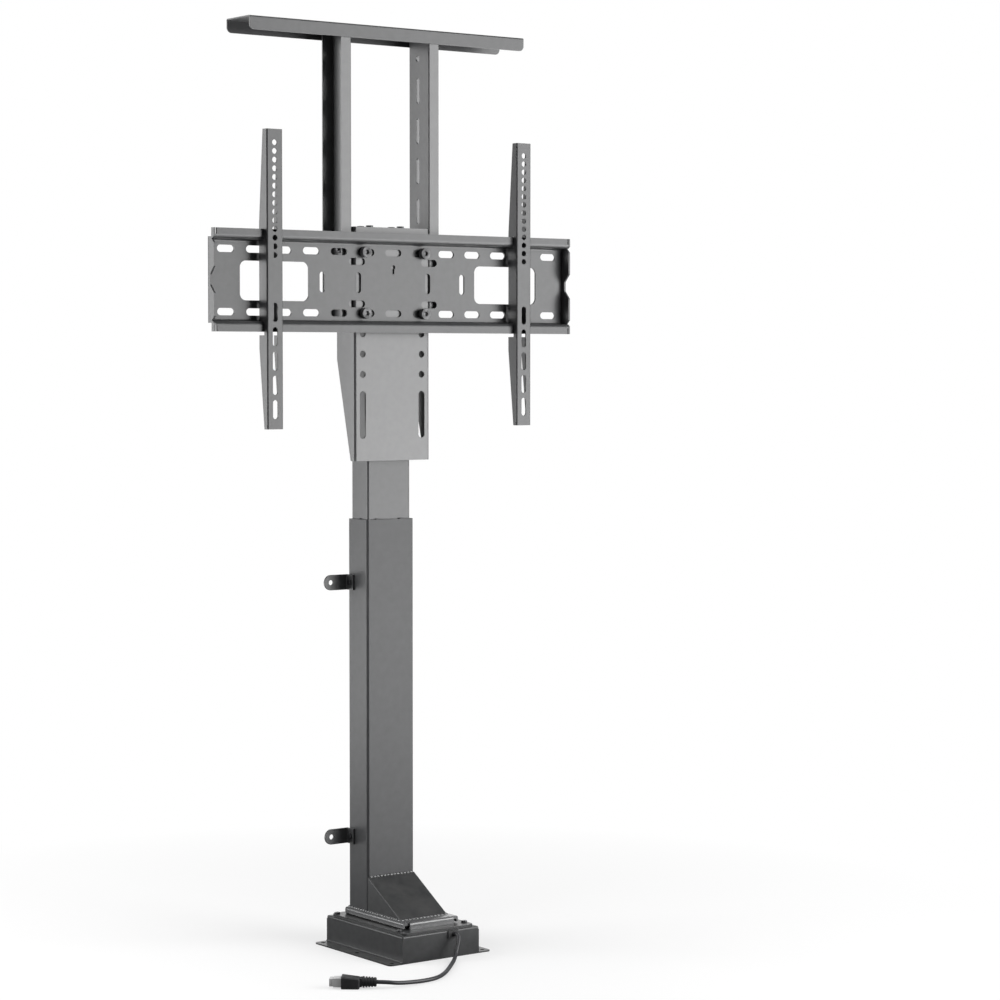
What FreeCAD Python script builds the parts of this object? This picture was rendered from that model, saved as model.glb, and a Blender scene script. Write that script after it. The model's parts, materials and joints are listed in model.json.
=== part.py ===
import FreeCAD, Part
import Sketcher
import math
import os
import re

# Motorised lift column for a television: a floor box with a worm gear motor, a two-stage
# steel column, a head bracket with a slotted screen plate and two hook-on arms, and a
# height-set mast that carries a lid tray.
# Millimetres, +Z up. The origin is on the column's axis at the floor, the front is -Y.

doc = FreeCAD.newDocument("tv_lift")
sheet = doc.addObject("Spreadsheet::Sheet", "Sizes")

SIZES = [
    # Floor box, folded from one sheet, with a foot flange on each side
    ("base_width", 140.0, "floor box, across X"),
    ("base_front", 159.2, "floor box, front wall ahead of the column axis"),
    ("base_rear", 47.0, "floor box, rear wall behind the column axis"),
    ("base_height", 41.5, "floor box, outside height"),
    ("base_wall", 2.0, "floor box, sheet"),
    ("base_bend", 2.8, "floor box, outside bend radius"),
    ("corner_relief", 1.6, "floor box, relief holes at the folded corners"),
    ("relief_drop", 4.5, "floor box, relief holes, depth"),
    ("foot_width", 23.0, "foot flange, out from the side wall"),
    ("foot_corner", 6.0, "foot flange, corner radius"),
    ("foot_hole_radius", 3.5, "floor bolt hole"),
    ("foot_hole_pitch", 93.3, "floor bolt holes, spacing along Y"),
    ("foot_hole_out", 13.0, "floor bolt holes, out from the side wall"),
    ("base_ledge", 14.0, "rim left round the opening in the box's top"),
    ("bottom_thickness", 1.5, "closing plate under the box"),
    ("fit_gap", 0.3, "gap round pieces that drop into place"),
    ("notch_width", 14.6, "cable notch in the front wall"),
    ("notch_depth", 12.8, "cable notch, down from the box's top"),
    ("notch_x", 21.0, "cable notch, centre"),
    # Lid and column plate
    ("lid_thickness", 3.0, "lid plate"),
    ("lid_inset", 5.0, "lid plate, in from the box on each side"),
    ("lid_corner", 8.0, "lid plate, corner radius"),
    ("lid_screw_side", 5.2, "lid screws, in from the lid's sides"),
    ("lid_screw_front", 19.2, "front lid screws, behind the lid's front edge"),
    ("lid_screw_rear", 9.0, "rear lid screws, ahead of the lid's rear edge"),
    ("lid_screw_radius", 2.5, "lid screw shank"),
    ("plate_rise", 11.0, "column plate's top above the lid"),
    ("plate_thickness", 3.0, "column plate, sheet"),
    ("plate_side", 7.5, "column plate, out from the column's sides"),
    ("plate_front", 21.8, "column plate, ahead of the gusset"),
    ("plate_rear", 4.5, "column plate, behind the column"),
    ("plate_bend", 3.5, "column plate, outside radius of its bends"),
    ("plate_corner", 8.0, "column plate, radius of its rear corners"),
    ("plate_gap", 2.0, "column plate's side walls, clear of the lid"),
    ("plate_notch", 10.5, "column plate's front wall, in from each side"),
    ("plate_hole_x", 34.6, "column plate, front holes off the middle"),
    ("plate_hole_front", 7.2, "column plate, front holes behind its front"),
    ("plate_hole_radius", 1.8, "column plate, front holes"),
    ("screw_opening_radius", 16.0, "opening round the lifting screw"),
    # Gusset
    ("gusset_height", 52.5, "gusset, up the column"),
    ("gusset_reach", 88.2, "gusset, ahead of the column"),
    ("gusset_wall", 2.5, "gusset, sheet"),
    # Outer and inner tube
    ("column_width", 86.0, "outer tube, across X"),
    ("column_depth", 52.0, "outer tube, along Y"),
    ("column_wall", 2.0, "outer tube, wall"),
    ("column_corner", 4.0, "outer tube, outside corner radius"),
    ("column_length", 598.8, "outer tube, length"),
    ("tube_gap", 2.0, "space between outer and inner tube"),
    ("inner_wall", 2.0, "inner tube, wall"),
    ("inner_corner", 3.0, "inner tube, outside corner radius"),
    ("inner_overlap", 154.3, "inner tube left inside the outer tube when raised"),
    ("down_gap", 5.7, "inner tube's top above the outer tube when lowered"),
    ("cap_thickness", 4.0, "plate welded on top of the inner tube"),
    ("glide_clearance", 0.3, "running gap at the plastic glides"),
    ("glide_height", 40.0, "plastic glides, height"),
    ("ear_width", 8.0, "ears of the upper glide"),
    ("ear_height", 1.2, "ears of the upper glide, above the tube"),
    # Drive
    ("lift_stroke", 430.0, "travel of the column"),
    ("screw_radius", 6.0, "lifting screw"),
    ("screw_spare", 22.0, "lifting screw, past the nut when raised"),
    ("screw_bottom", 9.0, "lifting screw, lower end above the floor"),
    ("screw_stop_radius", 9.0, "stop ring on the screw's top"),
    ("screw_stop_height", 6.0, "stop ring, height"),
    ("nut_radius", 11.0, "travelling nut, body"),
    ("nut_flange_radius", 16.0, "travelling nut, flange"),
    ("nut_flange_height", 5.0, "travelling nut, flange"),
    ("nut_block_height", 32.0, "carrier of the travelling nut"),
    ("carrier_screw_drop", 8.0, "carrier screws, below the carrier's top"),
    ("run_clearance", 0.05, "radial clearance of shafts"),
    ("wheel_radius", 15.0, "worm wheel, tip"),
    ("wheel_height", 10.0, "worm wheel, face"),
    ("wheel_bottom", 15.0, "worm wheel, lower face above the floor"),
    ("wheel_teeth", 36.0, "worm wheel, number of teeth"),
    ("tooth_depth", 1.2, "worm wheel, tooth depth"),
    ("hub_radius", 9.0, "worm wheel, hub"),
    ("hub_height", 2.0, "worm wheel, hub"),
    ("pocket_clearance", 0.6, "gear case clear of the worm and its wheel"),
    ("worm_radius", 5.0, "worm, outside"),
    ("worm_length", 26.0, "worm, length"),
    ("shaft_radius", 3.0, "motor shaft"),
    ("motor_radius", 17.0, "motor can, outside"),
    ("motor_wall", 1.6, "motor can, wall"),
    ("motor_length", 78.0, "motor can, length"),
    ("motor_cap_length", 7.0, "motor end cap"),
    ("motor_cap_round", 2.0, "motor end cap, rounded edge"),
    ("rotor_radius", 11.5, "motor rotor"),
    ("magnet_gap", 0.6, "air gap between rotor and magnets"),
    ("case_wall", 3.5, "gear case, walls"),
    ("bearing_radius", 13.0, "screw bearing, outside"),
    ("bearing_height", 8.0, "screw bearing, height"),
    ("cover_roof", 2.0, "gear cover, above the bearing"),
    ("case_corner", 4.0, "gear case, corner radius"),
    ("case_screw_radius", 2.0, "gear case screws, shank"),
    ("case_screw_rise", 1.0, "gear case screws, head height"),
    ("case_screw_grip", 10.0, "gear case screws, depth in the case"),
    ("case_screw_inset", 3.6, "gear case screws, in from the case's edges"),
    # Control unit in the box
    ("control_width", 46.0, "control unit, across X"),
    ("control_length", 82.0, "control unit, along Y"),
    ("control_height", 28.0, "control unit, height"),
    ("control_wall", 2.0, "control unit, wall"),
    ("control_margin", 4.0, "control unit, clear of the box's side"),
    ("control_corner", 3.0, "control unit, corner radius"),
    ("board_thickness", 1.6, "circuit board"),
    # Wall clips
    ("clip_thickness", 3.0, "wall clip, sheet"),
    ("clip_height", 23.5, "wall clip, height"),
    ("clip_reach", 43.0, "wall clip, out from the tube's side"),
    ("clip_foot", 17.0, "wall clip, foot along the tube's side"),
    ("clip_hole_radius", 4.0, "wall clip, hole"),
    ("lower_clip_height", 166.0, "lower wall clip, centre above the floor"),
    ("upper_clip_height", 557.0, "upper wall clip, centre above the floor"),
    ("clip_screw_radius", 2.5, "wall clip screws, shank"),
    # Head bracket
    ("bracket_wall", 3.0, "head bracket, sheet"),
    ("bracket_gap", 2.7, "head bracket's front clear of the outer tube"),
    ("bracket_width", 138.0, "head bracket, across X"),
    ("bracket_height", 353.0, "head bracket, height"),
    ("bracket_side_rear", 16.2, "head bracket's sides, rear edge behind the axis"),
    ("bracket_foot_depth", 11.2, "head bracket's sides, depth at the bottom"),
    ("bracket_taper", 154.0, "head bracket's sides, height of the taper"),
    ("bracket_bend", 4.0, "head bracket, outside bend radius"),
    ("hole_pitch", 30.6, "head bracket, pitch of the hole columns"),
    ("hole_column", 54.0, "head bracket, hole columns off the centre"),
    ("hole_radius", 5.2, "head bracket, holes"),
    ("long_slot_length", 71.8, "head bracket, lower slots"),
    ("long_slot_width", 11.0, "head bracket, lower slots"),
    ("long_slot_centre", 69.7, "head bracket, lower slots above the bottom edge"),
    ("head_bolt_x", 28.25, "head bolts, off the centre"),
    ("head_bolt_y", 12.25, "head bolts, off the centre"),
    ("head_bolt_radius", 3.0, "head bolts, shank"),
    ("head_bolt_head", 5.5, "head bolts, head radius"),
    ("head_bolt_rise", 3.3, "head bolts, head height"),
    ("bolt_spare", 3.0, "bolts, thread past the last piece"),
    # Screen plate
    ("rail_width", 652.0, "screen plate, across X"),
    ("rail_height", 150.0, "screen plate, height"),
    ("rail_drop", 9.3, "screen plate's top below the head bracket's top"),
    ("rail_wall", 3.0, "screen plate, sheet"),
    ("rail_depth", 21.1, "screen plate, depth of its pan"),
    ("rail_bend", 6.5, "screen plate, outside bend radius"),
    ("lip_height", 12.5, "screen plate, upper and lower lip"),
    ("row_offset", 45.9, "screen plate, slot rows off its centre line"),
    ("slot_pitch", 49.2, "screen plate, pitch of the slots in a row"),
    ("slot_length", 29.0, "screen plate, slots"),
    ("slot_width", 10.6, "screen plate, slots"),
    ("window_x", 211.5, "screen plate, window off the centre"),
    ("window_width", 119.5, "screen plate, windows"),
    ("window_height", 58.0, "screen plate, windows"),
    ("window_corner", 10.0, "screen plate, window corners"),
    ("short_slot_x", 66.2, "screen plate, short slots off the centre"),
    ("short_slot_z", 31.8, "screen plate, short slots off the centre line"),
    ("upright_slot_inner", 63.6, "screen plate, inner vertical slots off the centre"),
    ("upright_slot_outer", 128.0, "screen plate, outer vertical slots off the centre"),
    ("upright_slot_length", 31.0, "screen plate, vertical slots"),
    ("upright_slot_width", 9.5, "screen plate, vertical slots"),
    ("key_height", 23.9, "screen plate, key hole above its centre line"),
    ("key_radius", 3.6, "screen plate, key hole"),
    ("end_notch_depth", 11.0, "screen plate, notch in its end flanges"),
    ("end_notch_half", 19.5, "screen plate, notch, half height at its mouth"),
    ("end_notch_flat", 7.5, "screen plate, notch, half height at its floor"),
    ("end_tab_depth", 7.0, "screen plate, tabs of the end flanges beside the lips"),
    ("end_slit", 2.4, "screen plate, slit between a tab and its lip"),
    ("rail_bolt_radius", 4.0, "plate bolts, shank"),
    ("rail_bolt_head", 8.2, "plate bolts, head radius"),
    ("rail_bolt_rise", 8.0, "plate bolts, head height"),
    ("rail_bolt_socket", 3.6, "plate bolts, across the corners of the socket, half"),
    ("rail_nut_radius", 7.0, "plate nuts, corner radius"),
    ("rail_nut_height", 5.0, "plate nuts, height"),
    ("rail_washer_radius", 7.5, "plate washers"),
    ("rail_washer_thickness", 1.8, "plate washers"),
    # Screen arms
    ("arm_x", 227.7, "screen arms, centre off the column axis"),
    ("arm_width", 27.4, "screen arms, across X"),
    ("arm_length", 438.0, "screen arms, length"),
    ("arm_above", 145.3, "screen arms, above the screen plate's top"),
    ("arm_wall", 2.2, "screen arms, sheet"),
    ("arm_ahead", 9.0, "screen arms' front ahead of the lips"),
    ("arm_depth_top", 11.5, "screen arms, depth at the top"),
    ("arm_depth_hook", 22.0, "screen arms, depth at the hooks"),
    ("arm_depth_bottom", 9.0, "screen arms, depth at the bottom"),
    ("hook_clearance", 0.5, "hooks clear of the lips"),
    ("hook_shoulder", 8.0, "hooks, height above the upper lip"),
    ("lower_notch", 5.0, "gap in the arms under the lower lip"),
    ("lower_tail", 20.0, "full depth part of the arms under that gap"),
    ("arm_hole_radius", 4.25, "arm holes"),
    ("arm_hole_first", 19.5, "first arm hole below the arm's top"),
    ("arm_hole_pitch", 12.6, "arm holes, pitch"),
    ("arm_slot_first", 267.0, "first arm slot below the arm's top"),
    ("arm_slot_pitch", 35.5, "arm slots, pitch"),
    ("arm_slot_length", 28.0, "arm slots"),
    # Mast and tray
    ("spacer_thickness", 1.5, "spacers between head bracket and mast"),
    ("mast_clearance", 0.3, "mast clear of its spacers and washers"),
    ("mast_flange", 18.4, "upright, flange"),
    ("mast_wall", 2.0, "upright, sheet"),
    ("mast_front", 27.8, "upright, front edge ahead of the axis"),
    ("mast_rear", 25.0, "upright, rear edge behind the axis"),
    ("mast_length", 450.0, "upright, length"),
    ("mast_above", 300.5, "upright's top above the head bracket's top"),
    ("mast_slot_length", 38.6, "upright, slots"),
    ("mast_slot_width", 8.0, "upright, slots"),
    ("mast_slot_pitch", 61.5, "upright, slot pitch"),
    ("mast_slot_shift", 3.0, "upright, slots off the middle of the web"),
    ("mast_slot_first", 87.8, "first slot's centre below the upright's top"),
    ("mast_bolt_radius", 3.0, "mast bolts, shank"),
    ("mast_bolt_head", 5.5, "mast bolts, head radius"),
    ("mast_bolt_rise", 3.3, "mast bolts, head height"),
    ("mast_nut_radius", 5.8, "mast nuts, corner radius"),
    ("mast_nut_height", 5.0, "mast nuts, height"),
    ("mast_washer_radius", 8.0, "mast washers and spacers"),
    ("mast_washer_thickness", 1.6, "mast washers"),
    ("tray_width", 500.6, "tray, across X"),
    ("tray_front", 30.5, "tray, front ahead of the axis"),
    ("tray_rear", 34.7, "tray, rear behind the axis"),
    ("tray_height", 20.4, "tray, flange height"),
    ("tray_wall", 2.0, "tray, sheet"),
    ("tray_bend", 2.5, "tray, outside bend radius"),
    ("tray_corner", 8.0, "tray, lower corners of its flanges"),
    ("tray_screw_radius", 2.5, "tray screws, shank"),
    ("tray_screw_head", 4.6, "tray screws, countersunk head"),
    ("tray_screw_half", 12.0, "tray screws, off the middle of the upright"),
    # Cable and connector
    ("cable_radius", 3.0, "cable"),
    ("exit_x", 24.0, "cable exit, across X"),
    ("exit_drop", 6.2, "cable exit, below the box's top"),
    ("grommet_margin", 1.5, "grommet, past the notch and round the cable"),
    ("grommet_flange", 1.8, "grommet, flange thickness"),
    ("grommet_lip", 3.0, "grommet, lip ahead of the box"),
    ("connector_turn", 141.0, "connector's direction about Z, degrees"),
    ("connector_height", 18.0, "connector shell"),
    ("connector_width", 24.0, "connector shell"),
    ("connector_length", 26.5, "connector shell"),
    ("insert_length", 17.2, "connector insert"),
    ("insert_margin", 2.6, "connector insert, in from the shell"),
    ("relief_length", 23.5, "strain relief"),
    ("relief_radius", 8.2, "strain relief, ribs"),
    ("relief_neck", 6.0, "strain relief, between its ribs"),
    ("relief_rib", 2.4, "strain relief, width of a rib"),
    ("relief_taper", 0.35, "strain relief, each rib smaller than the next"),
    ("relief_collar", 3.0, "strain relief, collar at the shell"),
    ("connector_round", 2.5, "connector shell, rounded edges"),
    ("pin_hole", 3.2, "connector insert, pin openings"),
    ("pin_pitch", 5.2, "connector insert, pitch of its pin openings"),
]

for row, (alias, number, note) in enumerate(SIZES, start=1):
    sheet.set("A%d" % row, alias)
    sheet.set("B%d" % row, str(number))
    sheet.set("C%d" % row, note)
    sheet.setAlias("B%d" % row, alias)
doc.recompute()

ALIASES = {alias for alias, number, note in SIZES}
WORD = re.compile(r"[a-z][a-z0-9_]*")


class Size:
    """Reads a size of the sheet by its name."""

    def __getattr__(self, alias):
        return float(sheet.get(alias))


size = Size()


def bound(text):
    """Returns the text as an expression in which each size points at the sheet."""
    return WORD.sub(lambda m: "Sizes." + m.group() if m.group() in ALIASES else m.group(), str(text))


def bind(thing, **expressions):
    """Binds properties of an object to expressions of the sheet's sizes."""
    for name, text in expressions.items():
        thing.setExpression(name, bound(text))


def level(text):
    """Returns the number that an expression of the sheet's sizes works out to."""
    return float(sheet.evalExpression(bound(text)))


def put(thing, place):
    """Binds the three coordinates of an object's place."""
    for letter, text in zip("xyz", place):
        thing.setExpression("Placement.Base." + letter, bound(text))


TURNS = {
    "x": FreeCAD.Rotation(FreeCAD.Vector(0, 1, 0), 90),
    "y": FreeCAD.Rotation(FreeCAD.Vector(1, 0, 0), -90),
    "z": FreeCAD.Rotation(),
}


def block(name, sides, corner):
    """A box with bound sides and a bound lowest corner."""
    thing = doc.addObject("Part::Box", name)
    bind(thing, Length=sides[0], Width=sides[1], Height=sides[2])
    put(thing, corner)
    return thing


def rod(name, radius, length, centre, axis="z"):
    """A cylinder about a bound centre, along one axis."""
    thing = doc.addObject("Part::Cylinder", name)
    bind(thing, Radius=radius, Height=length)
    thing.Placement = FreeCAD.Placement(FreeCAD.Vector(), TURNS[axis])
    place = list(centre)
    index = "xyz".index(axis)
    place[index] = "(%s) - (%s) / 2" % (centre[index], length)
    put(thing, place)
    return thing


def hexagon(name, radius, length, centre, axis="z"):
    """A hexagonal prism about a bound centre, along one axis."""
    thing = doc.addObject("Part::Prism", name)
    thing.Polygon = 6
    bind(thing, Circumradius=radius, Height=length)
    thing.Placement = FreeCAD.Placement(FreeCAD.Vector(), TURNS[axis])
    place = list(centre)
    index = "xyz".index(axis)
    place[index] = "(%s) - (%s) / 2" % (centre[index], length)
    put(thing, place)
    return thing


def slot(name, width, length, depth, centre, along, through):
    """The three solids that cut a round-ended slot."""
    reach = "((%s) - (%s)) / 2" % (length, width)
    index = "xyz".index(along)
    ends = []
    for sign in ("-", "+"):
        place = list(centre)
        place[index] = "(%s) %s %s" % (centre[index], sign, reach)
        ends.append(rod("%s_end" % name, "(%s) / 2" % width, depth, place, through))
    sides = {along: "2 * %s" % reach, through: depth}
    spans = [sides.get(letter, width) for letter in "xyz"]
    corner = ["(%s) - (%s) / 2" % (middle, span) for middle, span in zip(centre, spans)]
    return ends + [block("%s_middle" % name, spans, corner)]


def joined(name, things):
    """One solid from several that meet."""
    thing = doc.addObject("Part::MultiFuse", name)
    thing.Shapes = things
    thing.Refine = True
    return thing


def cut(name, base, tools):
    """A solid with one or more others taken away."""
    thing = doc.addObject("Part::Cut", name)
    thing.Base = base
    thing.Tool = tools[0] if len(tools) == 1 else joined(name + "_tools", tools)
    thing.Refine = True
    return thing


def gathered(name, things):
    """Several separate solids of one node."""
    thing = doc.addObject("Part::Compound", name)
    thing.Links = things
    return thing


def rounded(name, base, radius, chosen):
    """Rounds the edges of a solid that a test picks."""
    doc.recompute()
    picked = [(index, radius, radius) for index, edge in enumerate(base.Shape.Edges, start=1) if chosen(edge)]
    thing = doc.addObject("Part::Fillet", name)
    thing.Base = base
    thing.Edges = picked
    return thing


def runs_along(edge, axis):
    """Says whether a straight edge lies along one axis."""
    if edge.Curve.TypeId != "Part::GeomLine":
        return False
    return abs(getattr(edge.Curve.Direction, axis)) > 0.999


def profile(name, points, width):
    """A body padded along X, midway about the column axis, from a closed outline in Y and Z."""
    body = doc.addObject("PartDesign::Body", name)
    sketch = body.newObject("Sketcher::SketchObject", name + "_outline")
    plane = next(item for item in body.Origin.OriginFeatures if item.Role == "YZ_Plane")
    sketch.AttachmentSupport = [(plane, "")]
    sketch.MapMode = "FlatFace"
    doc.recompute()
    spot = [FreeCAD.Vector(10.0 * math.cos(i), 10.0 * math.sin(i), 0) for i in range(len(points))]
    for i in range(len(points)):
        sketch.addGeometry(Part.LineSegment(spot[i], spot[(i + 1) % len(points)]), False)
    for i in range(len(points)):
        sketch.addConstraint(Sketcher.Constraint("Coincident", i, 2, (i + 1) % len(points), 1))
    for i, (across, up) in enumerate(points):
        for kind, text in (("DistanceX", across), ("DistanceY", up)):
            start = spot[i].x if kind == "DistanceX" else spot[i].y
            index = sketch.addConstraint(Sketcher.Constraint(kind, -1, 1, i, 1, start))
            sketch.setExpression("Constraints[%d]" % index, bound(text))
    pad = body.newObject("PartDesign::Pad", name + "_pad")
    pad.Profile = sketch
    pad.Midplane = True
    pad.setExpression("Length", bound(width))
    body.Tip = pad
    return body


NODES = {}


def node(label, thing):
    """Names a finished sub-part."""
    thing.Label = label
    NODES[label] = thing
    return thing


# Heights and planes that several sub-parts share
LID_TOP = "(base_height + lid_thickness)"
PLATE_TOP = "(base_height + lid_thickness + plate_rise)"
COLUMN_TOP = "(%s + column_length)" % PLATE_TOP
INNER_WIDTH = "(column_width - 2 * column_wall - 2 * tube_gap)"
INNER_DEPTH = "(column_depth - 2 * column_wall - 2 * tube_gap)"
INNER_BOTTOM = "(%s - inner_overlap)" % COLUMN_TOP
INNER_LENGTH = "(inner_overlap + lift_stroke + down_gap)"
INNER_TOP = "(%s + %s)" % (INNER_BOTTOM, INNER_LENGTH)
SCREW_LENGTH = "(%s + nut_block_height + screw_spare - screw_bottom)" % INNER_BOTTOM
HEAD_SEAT = "(%s + cap_thickness)" % INNER_TOP
HEAD_TOP = "(%s + bracket_wall)" % HEAD_SEAT
HEAD_BOTTOM = "(%s - bracket_height)" % HEAD_TOP
HEAD_FRONT = "(column_depth / 2 + bracket_gap + bracket_wall)"
RAIL_TOP = "(%s - rail_drop)" % HEAD_TOP
RAIL_MIDDLE = "(%s - rail_height / 2)" % RAIL_TOP
RAIL_BOTTOM = "(%s - rail_height)" % RAIL_TOP
LIP_FRONT = "(%s + rail_depth)" % HEAD_FRONT
PANEL_FRONT = "(%s + rail_wall)" % HEAD_FRONT
ARM_FRONT = "(%s + arm_ahead)" % LIP_FRONT
ARM_TOP = "(%s + arm_above)" % RAIL_TOP
MAST_TOP = "(%s + mast_above)" % HEAD_TOP
MAST_INNER = "(bracket_width / 2 + spacer_thickness + mast_clearance)"
MAST_MIDDLE = "((mast_rear - mast_front) / 2)"
TRAY_TOP = "(%s + tray_wall)" % MAST_TOP
BASE_MIDDLE = "((base_rear - base_front) / 2)"
BASE_LENGTH = "(base_front + base_rear)"
SIDES = (("left", "-"), ("right", "+"))


def pan_screws(label, radius, shank, head_radius, head_rise, seats):
    """Pan-head screws that point down, with a cross recess, as one node."""
    made = []
    for x, y, z in seats:
        head = rod(label + "_head", head_radius, head_rise, (x, y, "%s + (%s) / 2" % (z, head_rise)))
        core = rod(label + "_shank", radius, shank, (x, y, "%s - (%s) / 2" % (z, shank)))
        whole = joined(label + "_whole", [head, core])
        recess = []
        for sides in (("%s * 1.2" % radius, "%s * 0.4" % radius), ("%s * 0.4" % radius, "%s * 1.2" % radius)):
            corner = ("%s - %s / 2" % (x, sides[0]), "%s - %s / 2" % (y, sides[1]), "%s + (%s) / 2" % (z, head_rise))
            recess.append(block(label + "_recess", (sides[0], sides[1], head_rise), corner))
        made.append(cut(label + "_screw", whole, recess))
    return node(label, gathered(label + "_group", made))


def cone(name, low_radius, high_radius, height, base):
    """A cone along Z that grows or shrinks from its base."""
    thing = doc.addObject("Part::Cone", name)
    bind(thing, Radius1=low_radius, Radius2=high_radius, Height=height)
    put(thing, base)
    return thing


def flat_screws(label, radius, shank, head_radius, sheet, seats):
    """Countersunk screws that point down and end flush, with a cross recess, as one node."""
    made = []
    for x, y, z in seats:
        foot = "%s - %s" % (z, sheet)
        head = cone(label + "_head", radius, head_radius, sheet, (x, y, foot))
        core = rod(label + "_shank", radius, shank, (x, y, "%s - (%s) / 2" % (foot, shank)))
        whole = joined(label + "_whole", [head, core])
        recess = []
        for sides in ((radius, "%s * 0.3" % radius), ("%s * 0.3" % radius, radius)):
            corner = ("%s - %s / 2" % (x, sides[0]), "%s - %s / 2" % (y, sides[1]), "%s - (%s) / 2" % (z, sheet))
            recess.append(block(label + "_recess", (sides[0], sides[1], sheet), corner))
        made.append(cut(label + "_screw", whole, recess))
    return node(label, gathered(label + "_group", made))


def base_box():
    """Folded box: open below, with a rimmed opening above and a foot flange on each side."""
    outer = block("base_outer", ("base_width", BASE_LENGTH, "base_height"), ("-base_width / 2", "-base_front", 0))
    folded = rounded("base_folded", outer, size.base_bend,
                     lambda e: e.BoundBox.ZMin > size.base_height - 0.1)
    inner = block(
        "base_inner",
        ("base_width - 2 * base_wall", BASE_LENGTH + " - 2 * base_wall", "base_height - base_wall + 1"),
        ("base_wall - base_width / 2", "base_wall - base_front", -1))
    opening = block(
        "base_opening",
        ("base_width - 2 * base_ledge", BASE_LENGTH + " - 2 * base_ledge", "2 * base_wall + 2"),
        ("base_ledge - base_width / 2", "base_ledge - base_front", "base_height - base_wall - 1"))
    notch = block(
        "base_notch",
        ("notch_width", "base_wall + 2", "notch_depth + 1"),
        ("notch_x - notch_width / 2", "-base_front - 1", "base_height - notch_depth"))
    reliefs = [rod("base_relief", "corner_relief", "2 * relief_drop", (x, y, "base_height"))
               for x in ("-base_width / 2", "base_width / 2") for y in ("-base_front", "base_rear")]
    shell = cut("base_shell", folded, [inner, opening, notch] + reliefs + lid_screw_holes("base"))
    feet = []
    for side, sign in SIDES:
        edge = "base_width / 2" if sign == "+" else "-base_width / 2 - foot_width"
        foot = block("foot_" + side, ("foot_width", BASE_LENGTH, "base_wall"), (edge, "-base_front", 0))
        outer_x = level("%s(base_width / 2 + foot_width)" % sign)
        feet.append(rounded("foot_round_" + side, foot, size.foot_corner,
                            lambda e, x=outer_x: runs_along(e, "z") and abs(e.CenterOfMass.x - x) < 0.1))
    whole = joined("base_whole", [shell] + feet)
    holes = []
    for side, sign in SIDES:
        for step in (-1, 0, 1):
            holes.append(rod("foot_hole", "foot_hole_radius", "4 * base_wall", (
                "%s(base_width / 2 + foot_hole_out)" % sign,
                "%s + %d * foot_hole_pitch" % (BASE_MIDDLE, step), "base_wall / 2")))
    node("base_box", cut("base_holed", whole, holes))


LID_SEATS = [
    ("%s(base_width / 2 - lid_inset - lid_screw_side)" % sign, y)
    for sign in ("-", "+")
    for y in ("(lid_inset + lid_screw_front - base_front)", "(base_rear - lid_inset - lid_screw_rear)")
]


def lid_screw_holes(name):
    """Clearance holes for the four lid screws."""
    return [
        rod(name + "_lid_hole", "lid_screw_radius + 0.2", "4 * lid_thickness", (x, y, "base_height"))
        for x, y in LID_SEATS
    ]


def lid():
    """Lid plate, closing plate and the folded plate that carries the column."""
    blank = block(
        "lid_blank",
        ("base_width - 2 * lid_inset", BASE_LENGTH + " - 2 * lid_inset", "lid_thickness"),
        ("lid_inset - base_width / 2", "lid_inset - base_front", "base_height"))
    shaped = rounded("lid_shaped", blank, size.lid_corner, lambda e: runs_along(e, "z"))
    opening = rod("lid_opening", "screw_opening_radius", "4 * lid_thickness", (0, 0, "base_height"))
    node("base_lid", cut("lid_cut", shaped, [opening] + lid_screw_holes("lid")))
    pan_screws("lid_screws", "lid_screw_radius", "lid_thickness + base_wall + 1",
               "lid_screw_radius * 1.8", "lid_screw_radius * 1.1", [(x, y, LID_TOP) for x, y in LID_SEATS])
    node("bottom_plate", block(
        "bottom_sheet",
        ("base_width - 2 * base_wall - 2 * fit_gap", BASE_LENGTH + " - 2 * base_wall - 2 * fit_gap",
         "bottom_thickness"),
        ("base_wall + fit_gap - base_width / 2", "base_wall + fit_gap - base_front", 0)))


def plate_block(name, inset, bottom, top):
    """A block round the column and the gusset with its two rear corners rounded."""
    half = "(column_width / 2 + plate_side - %s)" % inset
    front = "(column_depth / 2 + gusset_reach + plate_front - %s)" % inset
    rear = "(column_depth / 2 + plate_rear - %s)" % inset
    blank = block(name + "_blank", ("2 * " + half, "%s + %s" % (front, rear), "%s - %s" % (top, bottom)),
                  ("-" + half, "-" + front, bottom))
    radius = size.plate_corner - level(inset)
    return rounded(name, blank, radius, lambda e: runs_along(e, "z") and e.CenterOfMass.y > 0)


def column_plate():
    """Raised plate under the column: a folded pan whose front wall is narrower than its flat."""
    high_plane = level(PLATE_TOP)
    shell = plate_block("plate_outer", "0", LID_TOP, PLATE_TOP)
    outer = rounded("plate_folded", shell, size.plate_bend, lambda e: e.CenterOfMass.z > high_plane - 0.01)
    inner = plate_block("plate_inner", "plate_thickness", LID_TOP + " - 1", PLATE_TOP + " - plate_thickness")
    tools = [inner, rod("plate_opening", "screw_opening_radius", "6 * plate_thickness", (0, 0, PLATE_TOP))]
    half = "(column_width / 2 + plate_side)"
    front = "(column_depth / 2 + gusset_reach + plate_front)"
    for side, sign in SIDES:
        far = "-%s - 1" % half
        tools.append(block(
            "plate_gap_" + side,
            ("plate_thickness + 2", "%s + column_depth / 2 + plate_rear + 2" % front, "plate_gap + 1"),
            (far if sign == "-" else "%s - plate_thickness - 1" % half, "-%s - 1" % front, LID_TOP + " - 1")))
        tools.append(block(
            "plate_notch_" + side, ("plate_notch + 1", "plate_bend + 1.5", "plate_rise + 2"),
            (far if sign == "-" else "%s - plate_notch" % half, "-%s - 1" % front, LID_TOP + " - 1")))
        tools.append(rod("plate_hole_" + side, "plate_hole_radius", "4 * plate_thickness", (
            "%splate_hole_x" % sign, "plate_hole_front - %s" % front, PLATE_TOP)))
    node("column_plate", cut("plate_cut", outer, tools))


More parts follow.
